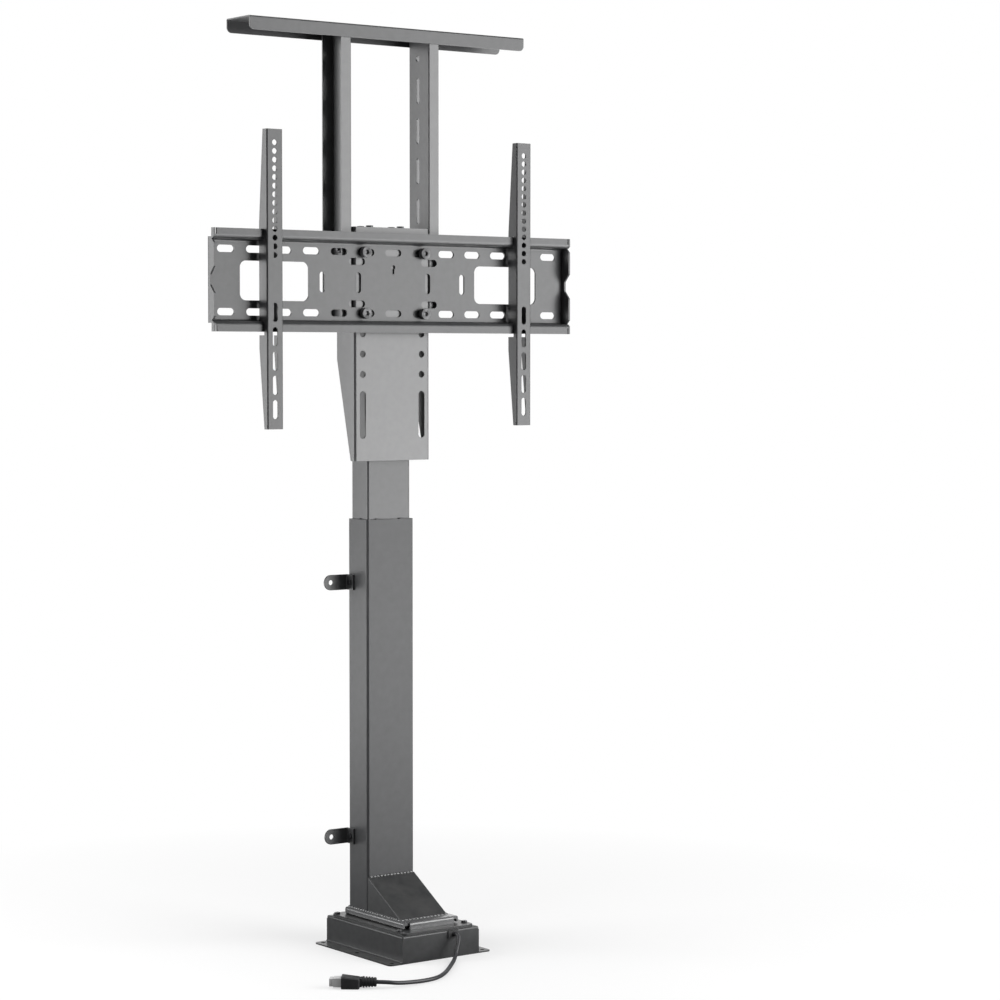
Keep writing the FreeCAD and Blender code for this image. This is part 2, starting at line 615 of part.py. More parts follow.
def gusset():
    """Hollow wedge of sheet in front of the column, open to the column and to the plate."""
    slant = "sqrt(gusset_height * gusset_height + gusset_reach * gusset_reach)"
    drop = "(gusset_wall * %s / gusset_reach)" % slant
    back = "(gusset_wall * %s / gusset_height)" % slant
    face = "-column_depth / 2"
    outer = profile("gusset_outer", [
        (face, PLATE_TOP),
        (face, "%s + gusset_height" % PLATE_TOP),
        ("%s - gusset_reach" % face, PLATE_TOP)], "column_width")
    inner = profile("gusset_inner", [
        (face, PLATE_TOP),
        (face, "%s + gusset_height - %s" % (PLATE_TOP, drop)),
        ("%s - gusset_reach + %s" % (face, back), PLATE_TOP)], "column_width - 2 * gusset_wall")
    node("gusset", cut("gusset_cut", outer, [inner]))


def tube(name, width, depth, wall, corner, length, bottom, cuts=()):
    """A rectangular tube with rounded corners."""
    outer = block(name + "_outer", (width, depth, length), ("-(%s) / 2" % width, "-(%s) / 2" % depth, bottom))
    bore = block(
        name + "_bore",
        ("%s - 2 * %s" % (width, wall), "%s - 2 * %s" % (depth, wall), "%s + 2 * %s" % (length, wall)),
        ("%s - (%s) / 2" % (wall, width), "%s - (%s) / 2" % (wall, depth), "%s - %s" % (bottom, wall)))
    round_outer = rounded(name + "_round", outer, corner, lambda e: runs_along(e, "z"))
    inside = max(corner - getattr(size, wall), 0.5)
    round_bore = rounded(name + "_round_bore", bore, inside, lambda e: runs_along(e, "z"))
    return cut(name + "_tube", round_outer, [round_bore] + list(cuts))


def column():
    """Outer tube, inner tube with its cap, and the two plastic glides."""
    clip_holes = [
        rod("clip_bore", "clip_screw_radius", "6 * column_wall", ("-column_width / 2", CLIP_SCREW_Y, z), "x")
        for z in ("lower_clip_height", "upper_clip_height")
    ]
    node("outer_tube", tube("outer", "column_width", "column_depth", "column_wall", size.column_corner,
                            "column_length", PLATE_TOP, clip_holes))
    block_screw_holes = [
        rod("block_bore", "case_screw_radius", "6 * inner_wall",
            ("%s%s / 2" % (sign, INNER_WIDTH), 0, NUT_SCREW_Z), "x")
        for side, sign in SIDES
    ]
    node("inner_tube", tube("inner", INNER_WIDTH, INNER_DEPTH, "inner_wall", size.inner_corner,
                            INNER_LENGTH, INNER_BOTTOM, block_screw_holes))
    cap = block("cap_blank", (INNER_WIDTH, INNER_DEPTH, "cap_thickness"),
                ("-%s / 2" % INNER_WIDTH, "-%s / 2" % INNER_DEPTH, INNER_TOP))
    cap_round = rounded("cap_round", cap, size.inner_corner, lambda e: runs_along(e, "z"))
    node("tube_cap", cut("cap_cut", cap_round, [
        rod("cap_hole", "head_bolt_radius", "4 * cap_thickness", (x, y, HEAD_SEAT)) for x, y in HEAD_BOLTS]))

    cavity_width = "(column_width - 2 * column_wall)"
    cavity_depth = "(column_depth - 2 * column_wall)"
    inside_corner = size.column_corner - size.column_wall
    collar = block("upper_glide_blank", (cavity_width, cavity_depth, "glide_height"),
                   ("-%s / 2" % cavity_width, "-%s / 2" % cavity_depth, COLUMN_TOP + " - glide_height"))
    collar_round = rounded("upper_glide_round", collar, inside_corner, lambda e: runs_along(e, "z"))
    ears = [
        block("upper_ear_x", ("ear_width", "column_depth - column_wall", "ear_height"),
              ("%scolumn_width / 4 - ear_width / 2" % sign, "-(column_depth - column_wall) / 2", COLUMN_TOP))
        for side, sign in SIDES
    ]
    ears.append(block("upper_ear_y", ("column_width - column_wall", "ear_width", "ear_height"),
                      ("-(column_width - column_wall) / 2", "-ear_width / 2", COLUMN_TOP)))
    sleeve = joined("upper_glide_sleeve", [collar_round] + ears)
    bore = block(
        "upper_glide_bore",
        (INNER_WIDTH + " + 2 * glide_clearance", INNER_DEPTH + " + 2 * glide_clearance",
         "glide_height + 4 * ear_height"),
        ("-%s / 2 - glide_clearance" % INNER_WIDTH, "-%s / 2 - glide_clearance" % INNER_DEPTH,
         COLUMN_TOP + " - glide_height - ear_height"))
    node("upper_glide", cut("upper_glide_cut", sleeve, [bore]))

    outside_width = "(%s - 2 * glide_clearance)" % cavity_width
    outside_depth = "(%s - 2 * glide_clearance)" % cavity_depth
    shoe = block("lower_glide_blank", (outside_width, outside_depth, "glide_height"),
                 ("-%s / 2" % outside_width, "-%s / 2" % outside_depth, INNER_BOTTOM))
    shoe_round = rounded("lower_glide_round", shoe, inside_corner, lambda e: runs_along(e, "z"))
    core = block("lower_glide_bore", (INNER_WIDTH, INNER_DEPTH, "glide_height + 2"),
                 ("-%s / 2" % INNER_WIDTH, "-%s / 2" % INNER_DEPTH, INNER_BOTTOM + " - 1"))
    windows = rod("lower_glide_window", "case_screw_radius * 2.2", "2 * column_width", (0, 0, NUT_SCREW_Z), "x")
    node("lower_glide", cut("lower_glide_cut", shoe_round, [core, windows]))


NUT_SCREW_Z = "(%s + nut_block_height - carrier_screw_drop)" % INNER_BOTTOM
CLIP_SCREW_Y = "(column_depth / 2 - clip_foot / 2)"
HEAD_BOLTS = [("%shead_bolt_x" % a, "%shead_bolt_y" % b) for a in ("-", "+") for b in ("-", "+")]
WORM_X = "(wheel_radius + worm_radius + glide_clearance)"
DRIVE_Z = "(wheel_bottom + wheel_height / 2)"
CASE_BOTTOM = "bottom_thickness"
CASE_TOP = "(wheel_bottom + wheel_height + case_wall)"
CASE_LEFT = "(-wheel_radius - pocket_clearance - case_wall)"
CASE_RIGHT = "(%s + motor_radius)" % WORM_X
CASE_REAR = "(wheel_radius + pocket_clearance + case_wall)"
CASE_FRONT = CASE_LEFT


def drive():
    """Lifting screw, nut and carrier, worm gear, motor and the case that holds them."""
    screw_middle = "screw_bottom + %s / 2" % SCREW_LENGTH
    node("lifting_screw", rod("screw_rod", "screw_radius", SCREW_LENGTH, (0, 0, screw_middle)))
    stop_z = "screw_bottom + %s - screw_stop_height" % SCREW_LENGTH
    stop_ring = rod("stop_ring", "screw_stop_radius", "screw_stop_height", (0, 0, stop_z))
    stop_bore = rod("stop_bore", "screw_radius", "2 * screw_stop_height", (0, 0, stop_z))
    node("screw_stop", cut("stop_cut", stop_ring, [stop_bore]))

    wheel = rod("wheel_rim", "wheel_radius", "wheel_height", (0, 0, DRIVE_Z))
    hub_z = "wheel_bottom + wheel_height + hub_height / 2"
    hub = rod("wheel_hub", "hub_radius", "hub_height", (0, 0, hub_z))
    wheel_bore = rod("wheel_bore", "screw_radius", "4 * wheel_height", (0, 0, DRIVE_Z))
    gaps = []
    count = int(round(size.wheel_teeth))
    for tooth in range(count):
        angle = 360.0 * tooth / count
        gap = rod("tooth_gap", "tooth_depth / 2", "2 * wheel_height",
                  ("wheel_radius * cos(%.6f deg)" % angle, "wheel_radius * sin(%.6f deg)" % angle, DRIVE_Z))
        gaps.append(gap)
    node("worm_wheel", cut("wheel_cut", joined("wheel_solid", [wheel, hub]), [wheel_bore] + gaps))

    shaft_rear = "(%s - case_wall / 2)" % CASE_REAR
    shaft_front = "(%s - motor_length + 2 * motor_wall)" % CASE_FRONT
    shaft_length = "(%s - %s)" % (shaft_rear, shaft_front)
    shaft = rod("shaft_core", "shaft_radius", shaft_length,
                (WORM_X, "%s - %s / 2" % (shaft_rear, shaft_length), DRIVE_Z), "y")
    worm = rod("worm_body", "worm_radius", "worm_length", (WORM_X, 0, DRIVE_Z), "y")
    grooves = []
    for step in (-2, -1, 0, 1, 2):
        ring = rod("worm_ring", "worm_radius + 1", "tooth_depth", (WORM_X, "%d * worm_length / 6" % step, DRIVE_Z), "y")
        keep = rod("worm_keep", "worm_radius - tooth_depth / 2", "2 * tooth_depth",
                   (WORM_X, "%d * worm_length / 6" % step, DRIVE_Z), "y")
        grooves.append(cut("worm_groove", ring, [keep]))
    threaded = cut("worm_thread", worm, grooves)
    node("worm_shaft", joined("worm_whole", [shaft, threaded]))

    rotor_middle = "(%s - motor_length / 2)" % CASE_FRONT
    rotor = rod("rotor_body", "rotor_radius", "motor_length * 0.5", (WORM_X, rotor_middle, DRIVE_Z), "y")
    rotor_bore = rod("rotor_bore", "shaft_radius", "motor_length", (WORM_X, rotor_middle, DRIVE_Z), "y")
    node("rotor", cut("rotor_cut", rotor, [rotor_bore]))
    ring = rod("magnet_ring", "motor_radius - motor_wall", "motor_length * 0.5", (WORM_X, rotor_middle, DRIVE_Z), "y")
    ring_bore = rod("magnet_bore", "rotor_radius + magnet_gap", "motor_length", (WORM_X, rotor_middle, DRIVE_Z), "y")
    node("motor_magnets", cut("magnet_cut", ring, [ring_bore]))
    can = rod("can_outer", "motor_radius", "motor_length", (WORM_X, rotor_middle, DRIVE_Z), "y")
    can_inner = rod("can_inner", "motor_radius - motor_wall", "motor_length - 2 * motor_wall",
                    (WORM_X, rotor_middle, DRIVE_Z), "y")
    can_bore = rod("can_bore", "shaft_radius + run_clearance", "3 * motor_wall", (WORM_X, CASE_FRONT, DRIVE_Z), "y")
    node("motor_can", cut("can_cut", can, [can_inner, can_bore]))
    end_y = "(%s - motor_length - motor_cap_length / 2)" % CASE_FRONT
    end = rod("motor_end_body", "motor_radius - motor_wall / 2", "motor_cap_length", (WORM_X, end_y, DRIVE_Z), "y")
    end_plane = level("%s - motor_cap_length / 2" % end_y)
    node("motor_end_cap", rounded("motor_end_round", end, size.motor_cap_round,
                                  lambda e: e.CenterOfMass.y < end_plane + 0.1))

    gear_case()

    bearing_z = "(%s + bearing_height / 2)" % CASE_TOP
    race = rod("bearing_outer", "bearing_radius", "bearing_height", (0, 0, bearing_z))
    race_bore = rod("bearing_bore", "screw_radius + run_clearance", "2 * bearing_height", (0, 0, bearing_z))
    node("screw_bearing", cut("bearing_cut", race, [race_bore]))

    carrier_width = "(%s - 2 * inner_wall)" % INNER_WIDTH
    carrier_depth = "(%s - 2 * inner_wall)" % INNER_DEPTH
    carrier = block("carrier_blank", (carrier_width, carrier_depth, "nut_block_height - nut_flange_height"),
                    ("-%s / 2" % carrier_width, "-%s / 2" % carrier_depth, INNER_BOTTOM + " + nut_flange_height"))
    carrier_corner = size.inner_corner - size.inner_wall + size.fit_gap
    carrier_round = rounded("carrier_round", carrier, carrier_corner, lambda e: runs_along(e, "z"))
    carrier_bore = rod("carrier_bore", "nut_radius", "2 * nut_block_height", (0, 0, INNER_BOTTOM))
    carrier_bore_screws = rod("carrier_screws", "case_screw_radius", "2 * column_width", (0, 0, NUT_SCREW_Z), "x")
    node("nut_carrier", cut("carrier_cut", carrier_round, [carrier_bore, carrier_bore_screws]))
    nut_body = rod("nut_body", "nut_radius", "nut_block_height", (0, 0, INNER_BOTTOM + " + nut_block_height / 2"))
    nut_flange = rod("nut_flange", "nut_flange_radius", "nut_flange_height",
                     (0, 0, INNER_BOTTOM + " + nut_flange_height / 2"))
    nut_bore = rod("nut_bore", "screw_radius + run_clearance", "4 * nut_block_height", (0, 0, INNER_BOTTOM))
    node("travelling_nut", cut("nut_cut", joined("nut_solid", [nut_body, nut_flange]), [nut_bore]))
    pegs = []
    for side, sign in SIDES:
        reach = "(%s / 2 - nut_radius - 2 * case_screw_radius)" % INNER_WIDTH
        head_x = "%s(%s / 2 + case_screw_radius * 0.35)" % (sign, INNER_WIDTH)
        core = rod("carrier_screw_core", "case_screw_radius", reach,
                   ("%s(%s / 2 - %s / 2)" % (sign, INNER_WIDTH, reach), 0, NUT_SCREW_Z), "x")
        head = rod("carrier_screw_head", "case_screw_radius * 1.8", "case_screw_radius * 0.7",
                   (head_x, 0, NUT_SCREW_Z), "x")
        pegs.append(joined("carrier_screw", [core, head]))
    node("carrier_screws", gathered("carrier_screw_group", pegs))


def gear_case():
    """Cast case round the worm gear, with a bolted cover that seats the screw bearing."""
    width = "(%s - %s)" % (CASE_RIGHT, CASE_LEFT)
    length = "(%s - %s)" % (CASE_REAR, CASE_FRONT)
    body = block("case_body", (width, length, "%s - %s" % (CASE_TOP, CASE_BOTTOM)), (CASE_LEFT, CASE_FRONT, CASE_BOTTOM))
    case = rounded("case_round", body, size.case_corner, lambda e: runs_along(e, "z"))
    pocket_height = "(%s - wheel_bottom + 2 * pocket_clearance)" % CASE_TOP
    pocket_z = "(wheel_bottom - pocket_clearance + %s / 2)" % pocket_height
    wheel_pocket = rod("wheel_pocket", "wheel_radius + pocket_clearance", pocket_height, (0, 0, pocket_z))
    worm_pocket = rod("worm_pocket", "worm_radius + pocket_clearance", "worm_length + 2 * pocket_clearance",
                      (WORM_X, 0, DRIVE_Z), "y")
    shaft_bore = rod("case_shaft_bore", "shaft_radius + run_clearance", "2 * " + CASE_REAR,
                     (WORM_X, CASE_FRONT + " / 2", DRIVE_Z), "y")
    tail = "(%s - case_wall / 2 + fit_gap)" % CASE_REAR
    shaft_tail = rod("case_shaft_tail", "shaft_radius + run_clearance", tail, (WORM_X, tail + " / 2", DRIVE_Z), "y")
    foot_bottom = "(screw_bottom - fit_gap)"
    screw_foot = rod("case_screw_foot", "screw_radius + run_clearance", "wheel_bottom - " + foot_bottom,
                     (0, 0, "(wheel_bottom + %s) / 2" % foot_bottom))
    bolts = [rod("case_bolt_bore", "case_screw_radius", "2 * (%s - %s)" % (CASE_TOP, CASE_BOTTOM), (x, y, CASE_TOP))
             for x, y in CASE_BOLTS]
    node("gear_case", cut("case_cut", case, [wheel_pocket, worm_pocket, shaft_bore, shaft_tail, screw_foot] + bolts))

    lid_body = block("cover_body", (width, length, COVER_HEIGHT), (CASE_LEFT, CASE_FRONT, CASE_TOP))
    cover = rounded("cover_round", lid_body, size.case_corner, lambda e: runs_along(e, "z"))
    seat = rod("cover_seat", "bearing_radius", "2 * bearing_height", (0, 0, CASE_TOP))
    passage = rod("cover_passage", "screw_radius + pocket_clearance", "6 * bearing_height", (0, 0, CASE_TOP))
    bores = [rod("cover_bolt_bore", "case_screw_radius", "6 * bearing_height", (x, y, CASE_TOP)) for x, y in CASE_BOLTS]
    node("gear_cover", cut("cover_cut", cover, [seat, passage] + bores))
    screws = []
    for x, y in CASE_BOLTS:
        top = "(%s + %s)" % (CASE_TOP, COVER_HEIGHT)
        depth = "(%s + case_screw_grip)" % COVER_HEIGHT
        core = rod("case_bolt_core", "case_screw_radius", depth, (x, y, "%s - %s / 2" % (top, depth)))
        head = rod("case_bolt_head", "case_screw_radius * 1.8", "case_screw_rise",
                   (x, y, "%s + case_screw_rise / 2" % top))
        screws.append(joined("case_bolt", [core, head]))
    node("gear_case_screws", gathered("case_bolt_group", screws))


COVER_HEIGHT = "(bearing_height + cover_roof)"
CASE_BOLTS = [
    (x, y)
    for x in ("(%s + case_screw_inset)" % CASE_LEFT, "(%s - case_screw_inset)" % CASE_RIGHT)
    for y in ("(%s + case_screw_inset)" % CASE_FRONT, "(%s - case_screw_inset)" % CASE_REAR)
]


def control_unit():
    """Plastic box with the lift's circuit board, on the floor plate beside the motor."""
    left = "(base_wall + control_margin - base_width / 2)"
    front = "(base_wall + 2 * control_margin - base_front)"
    shell = block("control_outer", ("control_width", "control_length", "control_height"),
                  (left, front, "bottom_thickness"))
    shell_round = rounded("control_round", shell, size.control_corner, lambda e: runs_along(e, "z"))
    hollow = block(
        "control_hollow",
        ("control_width - 2 * control_wall", "control_length - 2 * control_wall", "control_height - 2 * control_wall"),
        (left + " + control_wall", front + " + control_wall", "bottom_thickness + control_wall"))
    node("control_housing", cut("control_cut", shell_round, [hollow]))
    node("control_board", block(
        "board_sheet",
        ("control_width - 2 * control_wall - 2 * fit_gap", "control_length - 2 * control_wall - 2 * fit_gap",
         "board_thickness"),
        (left + " + control_wall + fit_gap", front + " + control_wall + fit_gap",
         "bottom_thickness + control_wall")))


def wall_clips():
    """Two angle clips on the tube's left side, each with its screw."""
    screws = []
    for name, height in (("lower_wall_clip", "lower_clip_height"), ("upper_wall_clip", "upper_clip_height")):
        side = "-column_width / 2"
        low = "%s - clip_height / 2" % height
        foot = block(name + "_foot", ("clip_thickness", "clip_foot + clip_thickness", "clip_height"),
                     ("%s - clip_thickness" % side, "column_depth / 2 - clip_foot", low))
        tab = block(name + "_tab", ("clip_reach - clip_height / 2", "clip_thickness", "clip_height"),
                    ("%s - clip_reach + clip_height / 2" % side, "column_depth / 2", low))
        tip = rod(name + "_tip", "clip_height / 2", "clip_thickness", (
            "%s - clip_reach + clip_height / 2" % side, "column_depth / 2 + clip_thickness / 2", height), "y")
        angle = joined(name + "_angle", [foot, tab, tip])
        eye = rod(name + "_eye", "clip_hole_radius", "4 * clip_thickness", (
            "%s - clip_reach + clip_height / 2" % side, "column_depth / 2 + clip_thickness / 2", height), "y")
        bore = rod(name + "_bore", "clip_screw_radius", "4 * clip_thickness", (side, CLIP_SCREW_Y, height), "x")
        node(name, cut(name + "_cut", angle, [eye, bore]))
        core = rod(name + "_core", "clip_screw_radius", "clip_thickness + column_wall", (
            "%s - (clip_thickness - column_wall) / 2" % side, CLIP_SCREW_Y, height), "x")
        head = rod(name + "_head", "clip_screw_radius * 1.9", "clip_screw_radius", (
            "%s - clip_thickness - clip_screw_radius / 2" % side, CLIP_SCREW_Y, height), "x")
        screws.append(joined(name + "_screw", [core, head]))
    node("clip_screws", gathered("clip_screw_group", screws))


def head_bracket():
    """U-shaped sheet bracket that hangs over the column's top, with its four bolts."""
    rear_foot = "bracket_foot_depth - %s" % HEAD_FRONT
    body = profile("bracket_side", [
        ("-" + HEAD_FRONT, HEAD_BOTTOM),
        (rear_foot, HEAD_BOTTOM),
        ("bracket_side_rear", HEAD_BOTTOM + " + bracket_taper"),
        ("bracket_side_rear", HEAD_TOP),
        ("-" + HEAD_FRONT, HEAD_TOP)], "bracket_width")
    front = level("-" + HEAD_FRONT)
    bent = rounded("bracket_bent", body, size.bracket_bend,
                   lambda e: runs_along(e, "z") and abs(e.CenterOfMass.y - front) < 0.1)
    hollow = block(
        "bracket_hollow",
        ("bracket_width - 2 * bracket_wall", "%s + bracket_side_rear + 1" % HEAD_FRONT, "bracket_height"),
        ("bracket_wall - bracket_width / 2", "bracket_wall - %s" % HEAD_FRONT, "%s - bracket_height" % HEAD_SEAT))
    hollow_bent = rounded("bracket_hollow_bent", hollow, size.bracket_bend - size.bracket_wall,
                          lambda e: runs_along(e, "z") and e.CenterOfMass.y < 0)
    tools = [hollow_bent]
    for side, sign in SIDES:
        column_x = "%shole_column" % sign
        for step in range(-1, 4):
            if step == -1:
                z = "%s - row_offset - hole_pitch" % RAIL_MIDDLE
            else:
                z = "%s - row_offset + %d * hole_pitch" % (RAIL_MIDDLE, step)
            tools.append(rod("bracket_hole", "hole_radius", "4 * bracket_wall", (column_x, "-" + HEAD_FRONT, z), "y"))
        for step in (2, 3):
            z = "%s - row_offset - %d * hole_pitch" % (RAIL_MIDDLE, step)
            tools.append(rod("bracket_low_hole", "hole_radius", "4 * bracket_wall",
                             (column_x, "-" + HEAD_FRONT, z), "y"))
        tools += slot("bracket_slot", "long_slot_width", "long_slot_length", "4 * bracket_wall", (
            column_x, "-" + HEAD_FRONT, HEAD_BOTTOM + " + long_slot_centre"), "z", "y")
        for z in MAST_BOLT_HEIGHTS:
            tools.append(rod("bracket_mast_hole", "mast_bolt_radius", "4 * bracket_wall",
                             ("%sbracket_width / 2" % sign, slot_line(sign), z), "x"))
    for x, y in HEAD_BOLTS:
        tools.append(rod("bracket_top_hole", "head_bolt_radius", "4 * bracket_wall", (x, y, HEAD_TOP)))
    node("head_bracket", cut("bracket_cut", bent, tools))

    bolts = []
    for x, y in HEAD_BOLTS:
        length = "(bracket_wall + cap_thickness + bolt_spare)"
        core = rod("head_bolt_core", "head_bolt_radius", length, (x, y, "%s - %s / 2" % (HEAD_TOP, length)))
        top = rod("head_bolt_top", "head_bolt_head", "head_bolt_rise", (x, y, HEAD_TOP + " + head_bolt_rise / 2"))
        solid = joined("head_bolt_solid", [core, top])
        socket = hexagon("head_bolt_socket", "head_bolt_radius * 0.7", "head_bolt_rise",
                         (x, y, HEAD_TOP + " + head_bolt_rise"))
        bolts.append(cut("head_bolt", solid, [socket]))
    node("head_bolts", gathered("head_bolt_group", bolts))


MAST_BOLT_HEIGHTS = [
    "(%s - mast_slot_first - %d * mast_slot_pitch)" % (MAST_TOP, step) for step in (4, 5)
]
RAIL_BOLTS = [
    ("%shole_column" % sign, "(%s %s row_offset)" % (RAIL_MIDDLE, up))
    for side, sign in SIDES for up in ("-", "+")
]


def screen_plate():
    """Pressed pan that the screen arms hang on, with its slots, windows and end flanges."""
    back = "-" + HEAD_FRONT
    front = "-" + LIP_FRONT
    low_ledge = RAIL_BOTTOM + " + lip_height"
    high_ledge = RAIL_TOP + " - lip_height"
    pan = profile("pan_section", [
        (back, low_ledge),
        (back, high_ledge),
        ("%s + rail_wall" % front, high_ledge),
        ("%s + rail_wall" % front, RAIL_TOP),
        (front, RAIL_TOP),
        (front, high_ledge + " - rail_wall"),
        ("%s - rail_wall" % back, high_ledge + " - rail_wall"),
        ("%s - rail_wall" % back, low_ledge + " + rail_wall"),
        (front, low_ledge + " + rail_wall"),
        (front, RAIL_BOTTOM),
        ("%s + rail_wall" % front, RAIL_BOTTOM),
        ("%s + rail_wall" % front, low_ledge)], "rail_width")
    low = level(low_ledge)
    high = level(high_ledge)
    back_plane = level(back)
    front_plane = level(front)
    wall = size.rail_wall

    def is_bend(edge, outside):
        """Picks the long edges of the two ledges, on the outside or the inside of their bends."""
        if outside:
            spots = [(back_plane, high), (back_plane, low), (front_plane, high - wall), (front_plane, low + wall)]
        else:
            spots = [(front_plane + wall, high), (front_plane + wall, low),
                     (back_plane - wall, high - wall), (back_plane - wall, low + wall)]
        middle = edge.CenterOfMass
        return runs_along(edge, "x") and any(
            abs(middle.y - y) < 0.01 and abs(middle.z - z) < 0.01 for y, z in spots)

    folded = rounded("pan_folded", pan, size.rail_bend, lambda e: is_bend(e, True))
    bent = rounded("pan_bent", folded, size.rail_bend - size.rail_wall, lambda e: is_bend(e, False))
    ends = []
    for side, sign in SIDES:
        notch = [
            ("%s - rail_wall" % back, low_ledge + " + rail_wall"),
            (front + " + rail_bend", low_ledge + " + rail_wall"),
            (front, low_ledge + " + rail_wall + rail_bend"),
            (front, RAIL_MIDDLE + " - end_notch_half"),
            (front + " + end_notch_depth", RAIL_MIDDLE + " - end_notch_flat"),
            (front + " + end_notch_depth", RAIL_MIDDLE + " + end_notch_flat"),
            (front, RAIL_MIDDLE + " + end_notch_half"),
            (front, high_ledge + " - rail_wall - rail_bend"),
            (front + " + rail_bend", high_ledge + " - rail_wall"),
            ("%s - rail_wall" % back, high_ledge + " - rail_wall")]
        flange = profile("pan_end_" + side, notch, "rail_wall")
        put(flange, ("%s(rail_width - rail_wall) / 2" % sign, 0, 0))
        ends.append(flange)
        edge = "rail_width / 2 - rail_wall" if sign == "+" else "-rail_width / 2"
        for row, base in (("low", RAIL_BOTTOM), ("high", high_ledge)):
            ends.append(block("pan_tab_%s_%s" % (side, row), ("rail_wall", "end_tab_depth", "lip_height"),
                              (edge, front, base)))
    whole = joined("pan_whole", [bent] + ends)
    tools = []
    for side, sign in SIDES:
        edge = "rail_width / 2 - rail_bend" if sign == "+" else "-rail_width / 2 - rail_bend"
        blank = block("pan_corner_" + side, ("2 * rail_bend", "2 * rail_bend", "rail_height"),
                      (edge, back + " - rail_bend", RAIL_BOTTOM))
        fold = rod("pan_fold_" + side, "rail_bend", "2 * rail_height",
                   ("%s(rail_width / 2 - rail_bend)" % sign, back + " - rail_bend", RAIL_MIDDLE))
        tools.append(cut("pan_corner_cut_" + side, blank, [fold]))
        edge = "rail_width / 2 - rail_wall - end_slit" if sign == "+" else "rail_wall - rail_width / 2"
        for row, base in (("low", RAIL_BOTTOM + " - rail_bend + rail_wall"),
                          ("high", high_ledge + " + rail_bend - rail_wall")):
            tools.append(block("pan_slit_%s_%s" % (side, row), ("end_slit", "2 * end_tab_depth", "lip_height"),
                               (edge, front + " - rail_wall", base)))
    deep = "4 * rail_wall"
    plane = "%s - rail_wall / 2" % back
    for row in ("-", "+"):
        row_z = "%s %s row_offset" % (RAIL_MIDDLE, row)
        for step in range(-6, 7):
            tools += slot("pan_slot", "slot_width", "slot_length", deep,
                          ("%d * slot_pitch" % step, plane, row_z), "x", "y")
        short_z = "%s %s short_slot_z" % (RAIL_MIDDLE, row)
        for side, sign in SIDES:
            tools += slot("pan_short", "slot_width", "slot_length", deep,
                          ("%sshort_slot_x" % sign, plane, short_z), "x", "y")
    for side, sign in SIDES:
        for across in ("upright_slot_inner", "upright_slot_outer"):
            tools += slot("pan_upright", "upright_slot_width", "upright_slot_length", deep,
                          (sign + across, plane, RAIL_MIDDLE), "z", "y")
        window = block("pan_window", ("window_width", deep, "window_height"), (
            "%swindow_x - window_width / 2" % sign, "%s - 2 * rail_wall" % plane,
            RAIL_MIDDLE + " - window_height / 2"))
        tools.append(rounded("pan_window_round", window, size.window_corner, lambda e: runs_along(e, "y")))
    tools.append(rod("pan_key", "key_radius", deep, (0, plane, RAIL_MIDDLE + " + key_height"), "y"))
    tools += slot("pan_key_slot", "key_radius", "3 * key_radius", deep,
                  (0, plane, "%s + key_height - 1.4 * key_radius" % RAIL_MIDDLE), "z", "y")
    node("screen_plate", cut("pan_cut", whole, tools))


def plate_bolts():
    """Socket-head bolts, washers and nuts that hold the screen plate on the bracket."""
    bolts = []
    washers = []
    nuts = []
    seat = "(%s + rail_washer_thickness)" % PANEL_FRONT
    for x, z in RAIL_BOLTS:
        length = "(rail_washer_thickness + rail_wall + bracket_wall + rail_nut_height + bolt_spare)"
        core = rod("rail_bolt_core", "rail_bolt_radius", length, (x, "%s / 2 - %s" % (length, seat), z), "y")
        top = rod("rail_bolt_top", "rail_bolt_head", "rail_bolt_rise",
                  (x, "-%s - rail_bolt_rise / 2" % seat, z), "y")
        solid = joined("rail_bolt_solid", [core, top])
        socket = hexagon("rail_bolt_hex", "rail_bolt_socket", "rail_bolt_rise",
                         (x, "-%s - rail_bolt_rise" % seat, z), "y")
        bolts.append(cut("rail_bolt", solid, [socket]))
        middle = "-%s - rail_washer_thickness / 2" % PANEL_FRONT
        disc = rod("rail_washer_disc", "rail_washer_radius", "rail_washer_thickness", (x, middle, z), "y")
        hole = rod("rail_washer_hole", "rail_bolt_radius", "4 * rail_washer_thickness", (x, middle, z), "y")
        washers.append(cut("rail_washer", disc, [hole]))
        nut_y = "(bracket_wall - %s + rail_nut_height / 2)" % HEAD_FRONT
        nut = hexagon("rail_nut_hex", "rail_nut_radius", "rail_nut_height", (x, nut_y, z), "y")
        thread = rod("rail_nut_bore", "rail_bolt_radius", "4 * rail_nut_height", (x, nut_y, z), "y")
        nuts.append(cut("rail_nut", nut, [thread]))
    node("plate_bolts", gathered("rail_bolt_group", bolts))
    node("plate_washers", gathered("rail_washer_group", washers))
    node("plate_nuts", gathered("rail_nut_group", nuts))


